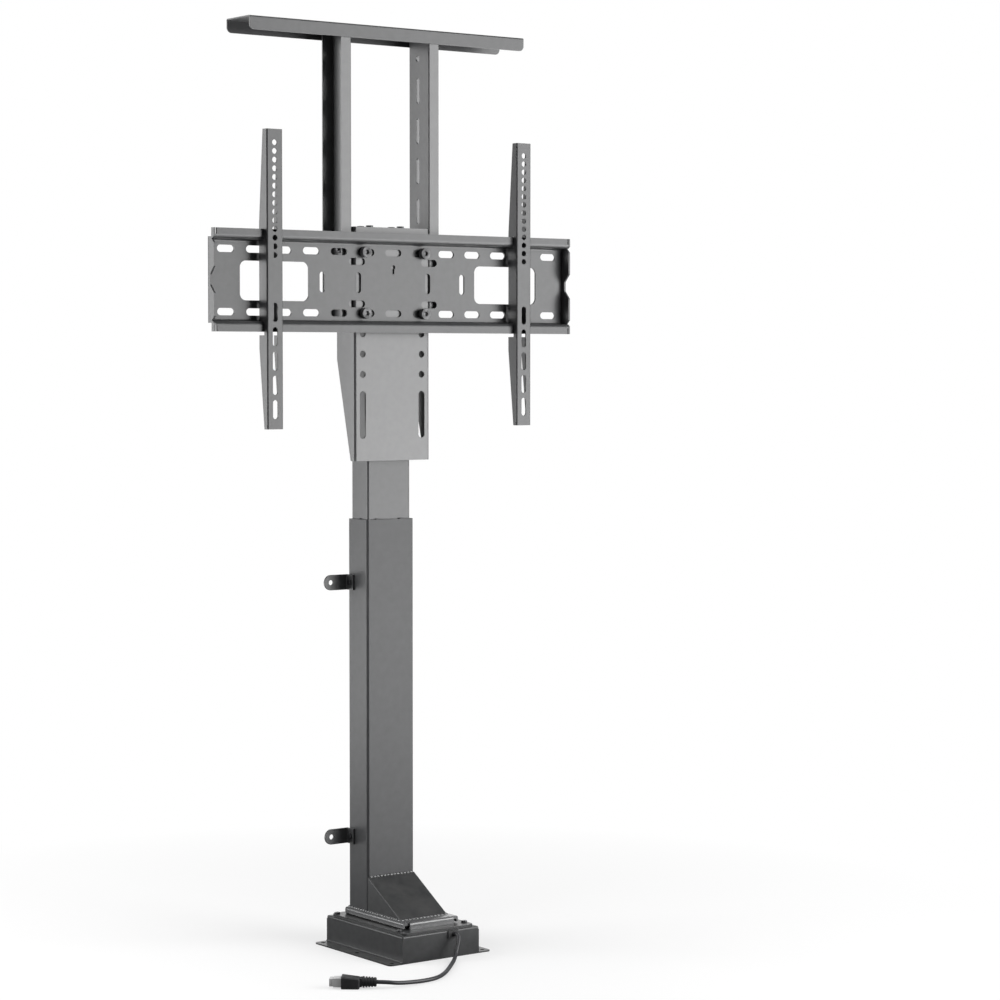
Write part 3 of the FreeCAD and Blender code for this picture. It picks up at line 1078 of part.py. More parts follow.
def screen_arm(side, sign):
    """One channel arm whose sides hook over the screen plate's lips."""
    front = "-" + ARM_FRONT
    lip_front = "-(%s + hook_clearance)" % LIP_FRONT
    lip_back = "(rail_wall + hook_clearance - %s)" % LIP_FRONT
    hook = front + " + arm_depth_hook"
    bottom = ARM_TOP + " - arm_length"
    high_ledge = RAIL_TOP + " - lip_height"
    low_ledge = RAIL_BOTTOM + " + lip_height"
    body = profile("arm_side_" + side, [
        (front, bottom),
        (front + " + arm_depth_bottom", bottom),
        (hook, RAIL_BOTTOM + " - lower_notch - lower_tail"),
        (hook, RAIL_BOTTOM + " - lower_notch"),
        (lip_front, RAIL_BOTTOM + " - lower_notch"),
        (lip_front, low_ledge + " + rail_wall + hook_clearance"),
        (hook, low_ledge + " + rail_wall + hook_clearance"),
        (hook, high_ledge + " - rail_wall - hook_clearance"),
        (lip_front, high_ledge + " - rail_wall - hook_clearance"),
        (lip_front, RAIL_TOP + " + hook_clearance"),
        (lip_back, RAIL_TOP + " + hook_clearance"),
        (lip_back, high_ledge + " + rail_bend"),
        (lip_back + " + rail_bend", high_ledge + " + hook_clearance"),
        (hook, high_ledge + " + hook_clearance"),
        (hook, RAIL_TOP + " + hook_shoulder"),
        (front + " + arm_depth_top", ARM_TOP),
        (front, ARM_TOP)], "arm_width")
    put(body, ("%sarm_x" % sign, 0, 0))
    front_plane = level(front)
    bent = rounded("arm_bent_" + side, body, size.arm_wall,
                   lambda e: runs_along(e, "z") and abs(e.CenterOfMass.y - front_plane) < 0.1)
    tools = [block("arm_hollow_" + side, ("arm_width - 2 * arm_wall", "2 * arm_depth_hook", "arm_length + 2"), (
        "%sarm_x - arm_width / 2 + arm_wall" % sign, front + " + arm_wall", bottom + " - 1"))]
    x = "%sarm_x" % sign
    for step in range(14):
        z = "%s - arm_hole_first - %d * arm_hole_pitch" % (ARM_TOP, step)
        tools.append(rod("arm_hole_" + side, "arm_hole_radius", "4 * arm_wall", (x, front, z), "y"))
    for step in range(5):
        z = "%s - arm_slot_first - %d * arm_slot_pitch" % (ARM_TOP, step)
        tools += slot("arm_slot_" + side, "2 * arm_hole_radius", "arm_slot_length", "4 * arm_wall",
                      (x, front, z), "z", "y")
    node("%s_screen_arm" % side, cut("arm_cut_" + side, bent, tools))


def slot_line(sign):
    """Where an upright's slots stand along Y: the left upright is the right one turned round."""
    return "(%s %s mast_slot_shift)" % (MAST_MIDDLE, sign)


def mast():
    """Two slotted uprights, the spacers, washers, bolts and nuts that clamp them, and the tray."""
    width = "(mast_front + mast_rear)"
    for side, sign in SIDES:
        inner = "%s%s" % (sign, MAST_INNER)
        edge = inner if sign == "+" else "-%s - mast_flange" % MAST_INNER
        blank = block("mast_blank_" + side, ("mast_flange", width, "mast_length"),
                      (edge, "-mast_front", MAST_TOP + " - mast_length"))
        web_x = level(inner)
        bent = rounded("mast_bent_" + side, blank, size.mast_wall,
                       lambda e, x=web_x: runs_along(e, "z") and abs(e.CenterOfMass.x - x) < 0.1)
        hollow_edge = "%s + mast_wall" % MAST_INNER if sign == "+" else "-%s - mast_flange - 1" % MAST_INNER
        hollow = block("mast_hollow_" + side,
                       ("mast_flange - mast_wall + 1", width + " - 2 * mast_wall", "mast_length"),
                       (hollow_edge, "mast_wall - mast_front", MAST_TOP + " - mast_length - mast_wall"))
        tools = [hollow]
        web = "%s(%s + mast_wall / 2)" % (sign, MAST_INNER)
        tools.append(rod("mast_hole_" + side, "0.6 * mast_slot_width", "4 * mast_wall", (
            web, slot_line(sign), "%s - mast_slot_first + 0.8 * mast_slot_pitch" % MAST_TOP), "x"))
        for step in range(6):
            z = "%s - mast_slot_first - %d * mast_slot_pitch" % (MAST_TOP, step)
            tools += slot("mast_slot_" + side, "mast_slot_width", "mast_slot_length", "4 * mast_wall",
                          (web, slot_line(sign), z), "z", "x")
        for x, y in TRAY_SEATS[side]:
            tools.append(rod("mast_tab_hole_" + side, "tray_screw_radius", "4 * mast_wall", (x, y, MAST_TOP)))
        node("%s_upright" % side, cut("mast_cut_" + side, bent, tools))
    clamp_parts()

    blank = block("tray_blank", ("tray_width", "tray_front + tray_rear", "tray_height"),
                  ("-tray_width / 2", "-tray_front", TRAY_TOP + " - tray_height"))
    top = level(TRAY_TOP)
    folded = rounded("tray_folded", blank, size.tray_bend,
                     lambda e: runs_along(e, "x") and e.CenterOfMass.z > top - 0.1)
    hollow = block("tray_hollow", ("tray_width + 2", "tray_front + tray_rear - 2 * tray_wall", "tray_height"),
                   ("-tray_width / 2 - 1", "tray_wall - tray_front", TRAY_TOP + " - tray_wall - tray_height"))
    seats = [(x, y, TRAY_TOP) for side in ("left", "right") for x, y in TRAY_SEATS[side]]
    holes = [cone("tray_hole", "tray_screw_radius", "tray_screw_head", "tray_wall", (x, y, z + " - tray_wall"))
             for x, y, z in seats]
    opened = cut("tray_open", folded, [hollow] + holes)
    node("tray", rounded("tray_corners", opened, size.tray_corner,
                         lambda e: runs_along(e, "y") and e.CenterOfMass.z < top - size.tray_height + 0.1))
    flat_screws("tray_screws", "tray_screw_radius", "mast_wall + 4", "tray_screw_head", "tray_wall", seats)


TRAY_SEATS = {
    side: [("%s(%s + mast_flange / 2 + 1)" % (sign, MAST_INNER), "%s %s tray_screw_half" % (MAST_MIDDLE, up))
           for up in ("-", "+")]
    for side, sign in SIDES
}


def clamp_parts():
    """Spacers, bolts, washers and nuts between the head bracket's sides and the uprights."""
    spacers = []
    bolts = []
    washers = []
    nuts = []
    for side, sign in SIDES:
        line = slot_line(sign)
        for z in MAST_BOLT_HEIGHTS:
            spacer_x = "%s(bracket_width / 2 + spacer_thickness / 2)" % sign
            disc = rod("spacer_disc", "mast_washer_radius", "spacer_thickness", (spacer_x, line, z), "x")
            hole = rod("spacer_hole", "mast_bolt_radius", "4 * spacer_thickness", (spacer_x, line, z), "x")
            spacers.append(cut("spacer", disc, [hole]))
            seat = "(bracket_width / 2 - bracket_wall)"
            far = "(%s + mast_wall + mast_clearance)" % MAST_INNER
            length = "(%s + mast_washer_thickness + mast_nut_height + bolt_spare - %s)" % (far, seat)
            core = rod("mast_bolt_core", "mast_bolt_radius", length,
                       ("%s(%s + %s / 2)" % (sign, seat, length), line, z), "x")
            head = rod("mast_bolt_head", "mast_bolt_head", "mast_bolt_rise", (
                "%s(%s - mast_bolt_rise / 2)" % (sign, seat), line, z), "x")
            bolts.append(joined("mast_bolt", [core, head]))
            washer_x = "%s(%s + mast_washer_thickness / 2)" % (sign, far)
            ring = rod("mast_washer_disc", "mast_washer_radius", "mast_washer_thickness",
                       (washer_x, line, z), "x")
            ring_hole = rod("mast_washer_hole", "mast_bolt_radius", "4 * mast_washer_thickness",
                            (washer_x, line, z), "x")
            washers.append(cut("mast_washer", ring, [ring_hole]))
            nut_x = "%s(%s + mast_washer_thickness + mast_nut_height / 2)" % (sign, far)
            nut = hexagon("mast_nut_hex", "mast_nut_radius", "mast_nut_height", (nut_x, line, z), "x")
            nut_hole = rod("mast_nut_hole", "mast_bolt_radius", "4 * mast_nut_height", (nut_x, line, z), "x")
            nuts.append(cut("mast_nut", nut, [nut_hole]))
    node("mast_spacers", gathered("spacer_group", spacers))
    node("mast_bolts", gathered("mast_bolt_group", bolts))
    node("mast_washers", gathered("mast_washer_group", washers))
    node("mast_nuts", gathered("mast_nut_group", nuts))


def cable_route():
    """The cable's points from the grommet to the strain relief, chosen by hand."""
    exit_z = size.base_height - size.exit_drop
    start = FreeCAD.Vector(size.exit_x, -size.base_front - size.grommet_lip, exit_z)
    on_floor = size.cable_radius + 0.5
    hand = [
        (23.8, -170.9, 35.3), (20.5, -175.9, 28.0), (16.4, -177.6, 19.0), (11.4, -181.0, 9.6), (1.5, -190.4, on_floor),
        (-15.5, -208.5, on_floor), (-36.0, -230.0, on_floor), (-60.0, -253.8, on_floor), (-86.0, -272.8, on_floor),
        (-112.0, -278.2, on_floor), (-137.0, -277.6, 4.2), (-162.0, -279.2, 6.6), (-178.64, -273.46, 9.3),
    ]
    return [start] + [FreeCAD.Vector(*point) for point in hand] + [FreeCAD.Vector(*CONNECTOR_START)]


CONNECTOR_START = (-188.74, -265.28, 9.3)


def rounded_path(points, share=0.45):
    """Straight runs joined by tangent arcs, and the smallest arc radius."""
    edges = []
    start = points[0]
    radii = []
    for before, corner, after in zip(points, points[1:], points[2:]):
        incoming = (corner - before)
        outgoing = (after - corner)
        cut_back = share * min(incoming.Length, outgoing.Length)
        turn = incoming.getAngle(outgoing)
        radii.append(cut_back / math.tan(turn / 2))
        into = corner - incoming.normalize() * cut_back
        out = corner + outgoing.normalize() * cut_back
        chord = into + (out - into) * 0.5
        inward = (chord - corner).normalize()
        centre = corner + inward * (radii[-1] / math.cos(turn / 2))
        middle = centre - inward * radii[-1]
        edges.append(Part.LineSegment(start, into).toShape())
        edges.append(Part.Arc(into, middle, out).toShape())
        start = out
    edges.append(Part.LineSegment(start, points[-1]).toShape())
    return Part.Wire(edges), radii


def cable():
    """The cable as a tube along its route, with the grommet that it comes out of."""
    points = cable_route()
    path, radii = rounded_path(points)
    first = (points[1] - points[0]).normalize()
    ring = Part.Wire([Part.Circle(points[0], first, size.cable_radius).toShape()])
    tube_shape = path.makePipeShell([ring], True, False)
    expected = math.pi * size.cable_radius ** 2 * path.Length
    print("cable length %.1f mm, least radius %.1f mm, volume over section times length %.4f"
          % (path.Length, min(radii), tube_shape.Volume / expected))
    print("cable radii", " ".join("%.0f" % radius for radius in radii))
    thing = doc.addObject("Part::Feature", "cable_tube")
    thing.Shape = tube_shape
    node("cable", thing)

    exit_z = "base_height - exit_drop"
    outside = block(
        "grommet_flange", ("notch_width + 2 * grommet_margin", "grommet_flange", "notch_depth"),
        ("notch_x - notch_width / 2 - grommet_margin", "-base_front - grommet_flange",
         "base_height - notch_depth - fit_gap"))
    plug = block(
        "grommet_plug", ("notch_width - 2 * fit_gap", "base_wall + fit_gap", "notch_depth - 2 * fit_gap"),
        ("notch_x - notch_width / 2 + fit_gap", "-base_front", "base_height - notch_depth + fit_gap"))
    lip = rod("grommet_lip", "cable_radius + grommet_margin", "grommet_lip",
              ("exit_x", "grommet_lip / 2 - base_front - grommet_lip", exit_z), "y")
    bore = rod("grommet_bore", "cable_radius", "6 * grommet_lip", ("exit_x", "-base_front", exit_z), "y")
    node("cable_grommet", cut("grommet_cut", joined("grommet_solid", [outside, plug, lip]), [bore]))


def connector():
    """Shell, insert and ribbed strain relief at the cable's far end."""
    turn = FreeCAD.Rotation(FreeCAD.Vector(0, 0, 1), size.connector_turn)
    place = FreeCAD.Placement(FreeCAD.Vector(*CONNECTOR_START), turn)

    relief = rod("relief_core", "relief_neck", "relief_length", ("relief_length / 2", 0, 0), "x")
    parts = [relief]
    pitch = "((relief_length - relief_collar) / 5)"
    for rib in range(5):
        parts.append(rod("relief_rib", "relief_radius - %d * relief_taper" % (4 - rib), "relief_rib",
                         ("%s * %.1f" % (pitch, rib + 0.5), 0, 0), "x"))
    parts.append(block("relief_end", ("relief_collar", "2 * relief_radius", "2 * relief_neck"),
                       ("relief_length - relief_collar", "-relief_radius", "-relief_neck")))
    shell = block("shell_body", ("connector_length", "connector_width", "connector_height"),
                  ("relief_length", "-connector_width / 2", "-connector_height / 2"))
    shell_round = rounded("shell_round", shell, size.connector_round,
                          lambda e: runs_along(e, "x") or e.CenterOfMass.x < size.relief_length + 0.1)
    insert = block(
        "insert_body",
        ("insert_length", "connector_width - 2 * insert_margin", "connector_height - 2 * insert_margin"),
        ("relief_length + connector_length", "insert_margin - connector_width / 2",
         "insert_margin - connector_height / 2"))
    pins = []
    for row in (-1, 1):
        for step in (-1, 0, 1):
            pins.append(block("insert_pin_hole", ("insert_length", "pin_hole", "pin_hole"), (
                "relief_length + connector_length + insert_length / 2",
                "%d * pin_pitch - pin_hole / 2" % step, "%d * pin_pitch / 2 - pin_hole / 2" % row)))
    for label, thing in (
            ("strain_relief", joined("relief_whole", parts)),
            ("connector_shell", shell_round),
            ("connector_insert", cut("insert_cut", insert, pins))):
        thing.Placement = place
        node(label, thing)


base_box()
lid()
column_plate()
gusset()
column()
drive()
control_unit()
wall_clips()
head_bracket()
screen_plate()
plate_bolts()
for side, sign in SIDES:
    screen_arm(side, sign)
mast()
cable()
connector()
doc.recompute()

for thing in doc.Objects:
    if "Invalid" in thing.State or "Error" in thing.State:
        raise RuntimeError("%s is %s" % (thing.Name, thing.State))

os.makedirs("parts", exist_ok=True)
for label, thing in NODES.items():
    shape = thing.Shape
    if shape.isNull() or not shape.isValid() or not shape.Solids:
        raise RuntimeError("%s has no valid solid" % label)
    shape.exportStep("parts/%s.step" % label)
    box = shape.BoundBox
    print("%-18s %2d solids %10.1f mm3  x %7.1f %7.1f  y %7.1f %7.1f  z %7.1f %7.1f" % (
        label, len(shape.Solids), shape.Volume, box.XMin, box.XMax, box.YMin, box.YMax, box.ZMin, box.ZMax))
print("%d sub-parts" % len(NODES))
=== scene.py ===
"""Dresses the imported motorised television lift: finishes, welds, threads, cable and studio.

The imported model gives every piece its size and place. Each sub-assembly below is a class that takes
its nodes from the frame, gives them rounded edges and their own finish, and adds the small pieces
that show on the real thing. Lengths are in metres where their description doesn't say millimetres,
in the frame's own axes: +Z up, front -Y.
"""

from __future__ import annotations

import json
import logging
import math
from dataclasses import dataclass, replace
from enum import Enum
from typing import Any, Callable, ClassVar, Sequence

import bmesh
import bpy
from mathutils import Matrix, Vector

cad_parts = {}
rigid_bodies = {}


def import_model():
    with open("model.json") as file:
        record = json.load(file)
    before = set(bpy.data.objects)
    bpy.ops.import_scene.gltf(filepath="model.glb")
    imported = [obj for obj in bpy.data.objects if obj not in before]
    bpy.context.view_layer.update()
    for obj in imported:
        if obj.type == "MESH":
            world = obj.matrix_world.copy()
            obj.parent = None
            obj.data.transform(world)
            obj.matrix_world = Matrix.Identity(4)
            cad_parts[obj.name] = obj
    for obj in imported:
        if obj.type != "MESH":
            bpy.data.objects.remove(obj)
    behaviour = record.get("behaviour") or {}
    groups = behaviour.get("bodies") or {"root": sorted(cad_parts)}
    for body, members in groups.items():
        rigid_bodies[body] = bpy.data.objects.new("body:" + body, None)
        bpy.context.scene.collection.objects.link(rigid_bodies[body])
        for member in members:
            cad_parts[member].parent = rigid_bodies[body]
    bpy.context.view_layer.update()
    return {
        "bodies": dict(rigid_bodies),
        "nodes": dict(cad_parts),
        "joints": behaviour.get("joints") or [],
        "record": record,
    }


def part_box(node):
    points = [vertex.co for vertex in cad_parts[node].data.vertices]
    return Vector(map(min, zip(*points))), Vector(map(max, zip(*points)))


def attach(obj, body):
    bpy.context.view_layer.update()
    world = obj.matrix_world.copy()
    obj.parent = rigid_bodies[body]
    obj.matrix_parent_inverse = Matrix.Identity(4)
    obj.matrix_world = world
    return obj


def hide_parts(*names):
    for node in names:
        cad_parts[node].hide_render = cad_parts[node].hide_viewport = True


LOG = logging.getLogger("lift")
MM = 0.001
RIM = "rim"
MERGE = 0.002 * MM
NEAR = 0.1 * MM
WHITE = (1.0, 1.0, 1.0, 1.0)
ACROSS = Vector((1.0, 0.0, 0.0))
BACKWARDS = Vector((0.0, 1.0, 0.0))
Point = tuple[float, float, float]
Span = tuple[float, float]
Node = bpy.types.Node
Socket = bpy.types.NodeSocket
Tree = bpy.types.NodeTree
Shape = bmesh.types.BMesh
Picker = Callable[[Vector], bool]


class Grain(Enum):
    """How a surface is textured close up."""

    POWDER = "powder coat"
    MOULDED = "moulded plastic"
    TURNED = "turned metal"
    CAST = "cast metal"
    JACKET = "cable jacket"
    MASK = "solder mask"


@dataclass(frozen=True)
class Finish:
    """One finish: its colour, gloss and close-up texture.

    Args:
        name: The material's name.
        slot: The record's material slot that it stands for.
        colour: Linear base colour.
        roughness: Mean roughness.
        grain: The close-up texture.
        grain_scale: Texture features per metre.
        grain_depth: Height of the texture, in millimetres.
        metallic: Share of uncoated metal.
        drift: How far the tone wanders over a large surface.
        rub_and_highlight: How much lighter and smoother the finish is along its edges: wear, and a painted
            highlight along them.
        dust: How much settles on faces that look up.
        coat: Weight of a clear coat.
        specular: Strength of the reflection that isn't metal.
        bare_and_highlight: Colour laid along those edges, partly wear and partly a painted highlight, or None
            for a lighter tone of the finish.
    """

    name: str
    slot: str
    colour: Point
    roughness: float
    grain: Grain
    grain_scale: float
    grain_depth: float
    metallic: float = 0.0
    drift: float = 0.10
    rub_and_highlight: float = 0.35
    dust: float = 0.0
    coat: float = 0.0
    specular: float = 0.5
    bare_and_highlight: Point | None = None

    def material(self) -> bpy.types.Material:
        """Returns this finish's material, built on first use."""
        found = bpy.data.materials.get(self.name)
        return found if found else FinishBuilder(self).build()


POWDER_COAT = Finish(
    "black_powder_coat", "black_steel", (0.056, 0.057, 0.059), 0.33, Grain.POWDER, 620.0, 0.04,
    drift=0.02, rub_and_highlight=0.15, dust=0.05)
# A lighter copy of the black powder coat for the head bracket and the uprights: painted light.
PAINTED_LIGHT_COAT = replace(
    POWDER_COAT, name="painted_light_powder_coat", colour=(0.070, 0.071, 0.073), roughness=0.34, grain_depth=0.03,
    specular=0.75)
# A darker copy of the black powder coat for the outer tube: painted shade.
PAINTED_SHADE_COLUMN_COAT = replace(
    POWDER_COAT, name="painted_shade_column_coat", colour=(0.044, 0.045, 0.047), roughness=0.36, specular=0.33)
# A lighter, glossier copy of the coat for the plate under the column: painted light, with its edges laid
# lighter still as a painted highlight.
PAINTED_LIGHT_FOOT_COAT = Finish(
    "painted_light_foot_coat", "black_steel", (0.080, 0.081, 0.083), 0.24, Grain.POWDER, 620.0, 0.03,
    drift=0.03, rub_and_highlight=0.5, dust=0.1, specular=1.0)
# A darker copy of the coat for the floor box, its lid, closing plate and the gusset: painted shade low down,
# with its edges laid lighter as wear and a painted highlight.
PAINTED_SHADE_BASE_COAT = Finish(
    "painted_shade_base_coat", "black_steel", (0.031, 0.032, 0.033), 0.34, Grain.POWDER, 620.0, 0.04,
    drift=0.015, rub_and_highlight=0.4, dust=0.1)
# A lighter copy of the coat on the weld beads: painted highlights on the ripples.
PAINTED_LIGHT_WELD_COAT = Finish(
    "painted_light_weld", "black_steel", (0.085, 0.086, 0.088), 0.22, Grain.POWDER, 900.0, 0.02, dust=0.1,
    specular=1.0)
# Pale grey laid round the edge of each bolt head: a painted highlight.
DULL_BLACK = Finish(
    "dull_black_bolt", "black_fastener", (0.010, 0.010, 0.011), 0.50, Grain.POWDER, 900.0, 0.02, rub_and_highlight=1.0,
    specular=0.25, bare_and_highlight=(0.34, 0.34, 0.35))
# Pale grey laid round each screw's dome: partly wear, partly a painted highlight.
SCREW_BLACK = Finish(
    "black_lid_screw", "black_fastener", (0.006, 0.006, 0.007), 0.26, Grain.POWDER, 900.0, 0.02, rub_and_highlight=0.25,
    specular=0.6, bare_and_highlight=(0.30, 0.30, 0.31))
# Lighter grey for the floor of each bolt's socket: painted light.
PAINTED_LIGHT_RECESS = Finish(
    "painted_light_recess", "black_fastener", (0.16, 0.16, 0.165), 0.40, Grain.TURNED, 1800.0, 0.01, metallic=0.3)
BLACK_OXIDE = Finish(
    "black_oxide", "black_fastener", (0.030, 0.030, 0.033), 0.34, Grain.POWDER, 900.0, 0.02,
    metallic=0.35, rub_and_highlight=0.9, dust=0.04)
BRIGHT_STEEL = Finish(
    "turned_steel", "bright_steel", (0.55, 0.56, 0.58), 0.26, Grain.TURNED, 1800.0, 0.01, metallic=1.0,
    rub_and_highlight=0.2)
MOTOR_STEEL = Finish(
    "zinc_plated_steel", "motor_steel", (0.42, 0.43, 0.45), 0.36, Grain.CAST, 700.0, 0.01, metallic=1.0,
    rub_and_highlight=0.2, dust=0.05)
MAGNET = Finish("sintered_magnet", "magnet", (0.10, 0.10, 0.11), 0.62, Grain.CAST, 900.0, 0.05)
BRONZE = Finish(
    "machined_bronze", "bronze", (0.62, 0.42, 0.19), 0.30, Grain.TURNED, 1600.0, 0.01, metallic=1.0, rub_and_highlight=0.2)
CAST_ALLOY = Finish(
    "die_cast_alloy", "cast_alloy", (0.56, 0.57, 0.58), 0.48, Grain.CAST, 520.0, 0.05, metallic=1.0,
    rub_and_highlight=0.25, dust=0.05)
BLACK_PLASTIC = Finish(
    "moulded_black", "black_plastic", (0.020, 0.020, 0.022), 0.46, Grain.MOULDED, 1500.0, 0.03, rub_and_highlight=0.5,
    dust=0.05)
BOARD = Finish("solder_mask", "board", (0.04, 0.20, 0.09), 0.35, Grain.MASK, 300.0, 0.03, coat=0.4)
JACKET = Finish(
    "cable_jacket", "cable_jacket", (0.012, 0.012, 0.013), 0.36, Grain.JACKET, 700.0, 0.04,
    drift=0.15, rub_and_highlight=0.0, dust=0.08, specular=0.2)
RUBBER = Finish(
    "moulded_rubber", "black_rubber", (0.014, 0.014, 0.015), 0.52, Grain.MOULDED, 1300.0, 0.04, rub_and_highlight=0.5,
    dust=0.05)
PALE_PLASTIC = Finish(
    "pale_plastic", "pale_plastic", (0.86, 0.86, 0.85), 0.42, Grain.MOULDED, 1200.0, 0.02, drift=0.05,
    rub_and_highlight=0.1)

SLOT_FINISHES = {
    finish.slot: finish
    for finish in (POWDER_COAT, BLACK_OXIDE, BRIGHT_STEEL, MOTOR_STEEL, MAGNET, BRONZE, CAST_ALLOY,
                   BLACK_PLASTIC, BOARD, JACKET, RUBBER, PALE_PLASTIC)
}


class NodeSheet:
    """Adds and joins shader nodes in one tree."""

    def __init__(self, tree: Tree) -> None:
        """Starts on a tree.

        Args:
            tree: The node tree to add to.
        """
        self.tree = tree

    def add(self, kind: str, **values: Any) -> Node:
        """Adds a node and sets its inputs or properties.

        Args:
            kind: The node's type name.
            **values: Inputs by name with underscores for spaces or by number as i0, i1, or properties
                of the node. A value that is a socket is linked.

        Returns:
            The new node.
        """
        item = self.tree.nodes.new(kind)
        for key, value in values.items():
            title = key.replace("_", " ")
            if hasattr(item, key) and title not in item.inputs:
                setattr(item, key, value)
                continue
            numbered = key[0] == "i" and key[1:].isdigit()
            self.feed(item.inputs[int(key[1:]) if numbered else title], value)
        return item

    def feed(self, socket: Socket, value: Any) -> None:
        """Links a socket to an output, or sets its value."""
        if isinstance(value, Socket):
            self.tree.links.new(value, socket)
        else:
            socket.default_value = value

    def maths(self, operation: str, first: Any, second: Any = 0.0, clamp: bool = False) -> Socket:
        """Adds a Math node and returns its output."""
        item = self.add("ShaderNodeMath", operation=operation, i0=first, i1=second)
        item.use_clamp = clamp
        return item.outputs[0]

    def times(self, first: Any, second: Any) -> Socket:
        """Returns the product of two values."""
        return self.maths("MULTIPLY", first, second)

    def plus(self, first: Any, second: Any) -> Socket:
        """Returns the sum of two values."""
        return self.maths("ADD", first, second)

    def weighed(self, first: Any, share: float, second: Any, rest: float) -> Socket:
        """Returns the sum of two values, each times its share."""
        return self.plus(self.times(first, share), self.times(second, rest))

    def ramp(self, value: Any, low: float, high: float) -> Socket:
        """Returns a value stretched so that low gives 0 and high gives 1."""
        item = self.add("ShaderNodeMapRange", Value=value, From_Min=low, From_Max=high)
        return item.outputs["Result"]

    def noise(self, place: Socket, scale: Any, **values: Any) -> Socket:
        """Adds a noise texture and returns its value."""
        return self.add("ShaderNodeTexNoise", Vector=place, Scale=scale, **values).outputs["Fac"]

    def laid(self, mask: Any, under: Any, over: Any) -> Socket:
        """Returns one colour with another laid over it where the mask is 1."""
        return self.add("ShaderNodeMix", data_type="RGBA", i0=mask, i6=under, i7=over).outputs[2]


def shared_group(name: str, inputs: dict[str, Any], outputs: dict[str, str],
                 fill: Callable[[NodeSheet, Node, Node], None]) -> Tree:
    """Returns a shader node group, built on first use.

    Args:
        name: The group's name.
        inputs: Names and defaults, numbers or colours, of the inputs that follow its place input.
        outputs: Output names with their socket types.
        fill: Adds the nodes between the group's input and output.

    Returns:
        The group's tree.
    """
    found = bpy.data.node_groups.get(name)
    if found:
        return found
    tree = bpy.data.node_groups.new(name, "ShaderNodeTree")
    for title, default in {"Place": (0.0, 0.0, 0.0), **inputs}.items():
        length = len(default) if isinstance(default, tuple) else 1
        kind = {1: "NodeSocketFloat", 3: "NodeSocketVector", 4: "NodeSocketColor"}[length]
        tree.interface.new_socket(name=title, in_out="INPUT", socket_type=kind).default_value = default
    for title, kind in outputs.items():
        tree.interface.new_socket(name=title, in_out="OUTPUT", socket_type=kind)
    sheet = NodeSheet(tree)
    fill(sheet, tree.nodes.new("NodeGroupInput"), tree.nodes.new("NodeGroupOutput"))
    return tree


def fill_tone_drift(sheet: NodeSheet, start: Node, end: Node) -> None:
    """Lets a colour wander a little lighter and darker, in broad patches and in fine specks."""
    place = start.outputs["Place"]
    broad = sheet.noise(place, 7.0, Detail=3.0)
    fine = sheet.noise(place, start.outputs["Scale"], Detail=2.0)
    both = sheet.weighed(broad, 0.6, fine, 0.4)
    swing = sheet.times(sheet.maths("SUBTRACT", both, 0.5), start.outputs["Amount"])
    factor = sheet.plus(sheet.times(swing, 3.0), 1.0)
    tinted = sheet.add("ShaderNodeVectorMath", operation="SCALE", i0=start.outputs["Colour"], Scale=factor)
    sheet.feed(end.inputs["Colour"], tinted.outputs[0])
    sheet.feed(end.inputs["Swing"], swing)


def fill_edge_rub_and_highlight(sheet: NodeSheet, start: Node, end: Node) -> None:
    """Turns the rim attribute into a broken mask of edges: partly edges that hands and tools have polished,
    partly a painted highlight along them.
    """
    rim = sheet.add("ShaderNodeAttribute", attribute_type="GEOMETRY", attribute_name=RIM)
    broken = sheet.ramp(sheet.noise(start.outputs["Place"], 90.0, Detail=3.0), 0.25, 0.75)
    mask = sheet.times(sheet.times(rim.outputs["Fac"], broken), start.outputs["Amount"])
    sheet.feed(end.inputs["Mask"], mask)


def fill_settled_dust(sheet: NodeSheet, start: Node, end: Node) -> None:
    """Finds the faces that look up and breaks them into faint patches of dust."""
    shape = sheet.add("ShaderNodeNewGeometry")
    parts = sheet.add("ShaderNodeSeparateXYZ", Vector=shape.outputs["Normal"])
    up = sheet.ramp(parts.outputs["Z"], 0.55, 0.98)
    cover = sheet.ramp(sheet.noise(start.outputs["Place"], 24.0, Detail=6.0), 0.35, 0.72)
    sheet.feed(end.inputs["Mask"], sheet.times(sheet.times(up, cover), start.outputs["Amount"]))


def fill_powder(sheet: NodeSheet, start: Node, end: Node) -> None:
    """Orange peel of a baked powder coat: soft round swells with a fine grit between them."""
    place, scale = start.outputs["Place"], start.outputs["Scale"]
    swells = sheet.add("ShaderNodeTexVoronoi", Vector=place, Scale=scale, feature="SMOOTH_F1", Smoothness=0.8)
    grit = sheet.noise(place, sheet.times(scale, 2.4), Detail=2.0)
    sheet.feed(end.inputs["Height"], sheet.weighed(swells.outputs["Distance"], 0.8, grit, 0.35))


def fill_moulded(sheet: NodeSheet, start: Node, end: Node) -> None:
    """Spark-eroded texture of a plastic mould: even fine pits."""
    pits = sheet.noise(start.outputs["Place"], start.outputs["Scale"], Detail=4.0, Roughness=0.6)
    sheet.feed(end.inputs["Height"], sheet.ramp(pits, 0.3, 0.7))


def fill_turned(sheet: NodeSheet, start: Node, end: Node) -> None:
    """Fine lathe rings along the piece with a little waver."""
    rings = sheet.add("ShaderNodeTexWave", Vector=start.outputs["Place"], bands_direction="Z",
                      Scale=start.outputs["Scale"], Distortion=0.6, Detail=1.0)
    sheet.feed(end.inputs["Height"], rings.outputs["Fac"])


def fill_cast(sheet: NodeSheet, start: Node, end: Node) -> None:
    """Grainy skin of a casting, with shallow flow marks."""
    grain = sheet.noise(start.outputs["Place"], start.outputs["Scale"], Detail=5.0)
    flow = sheet.noise(start.outputs["Place"], 30.0, Distortion=1.5)
    sheet.feed(end.inputs["Height"], sheet.weighed(grain, 0.7, flow, 0.3))


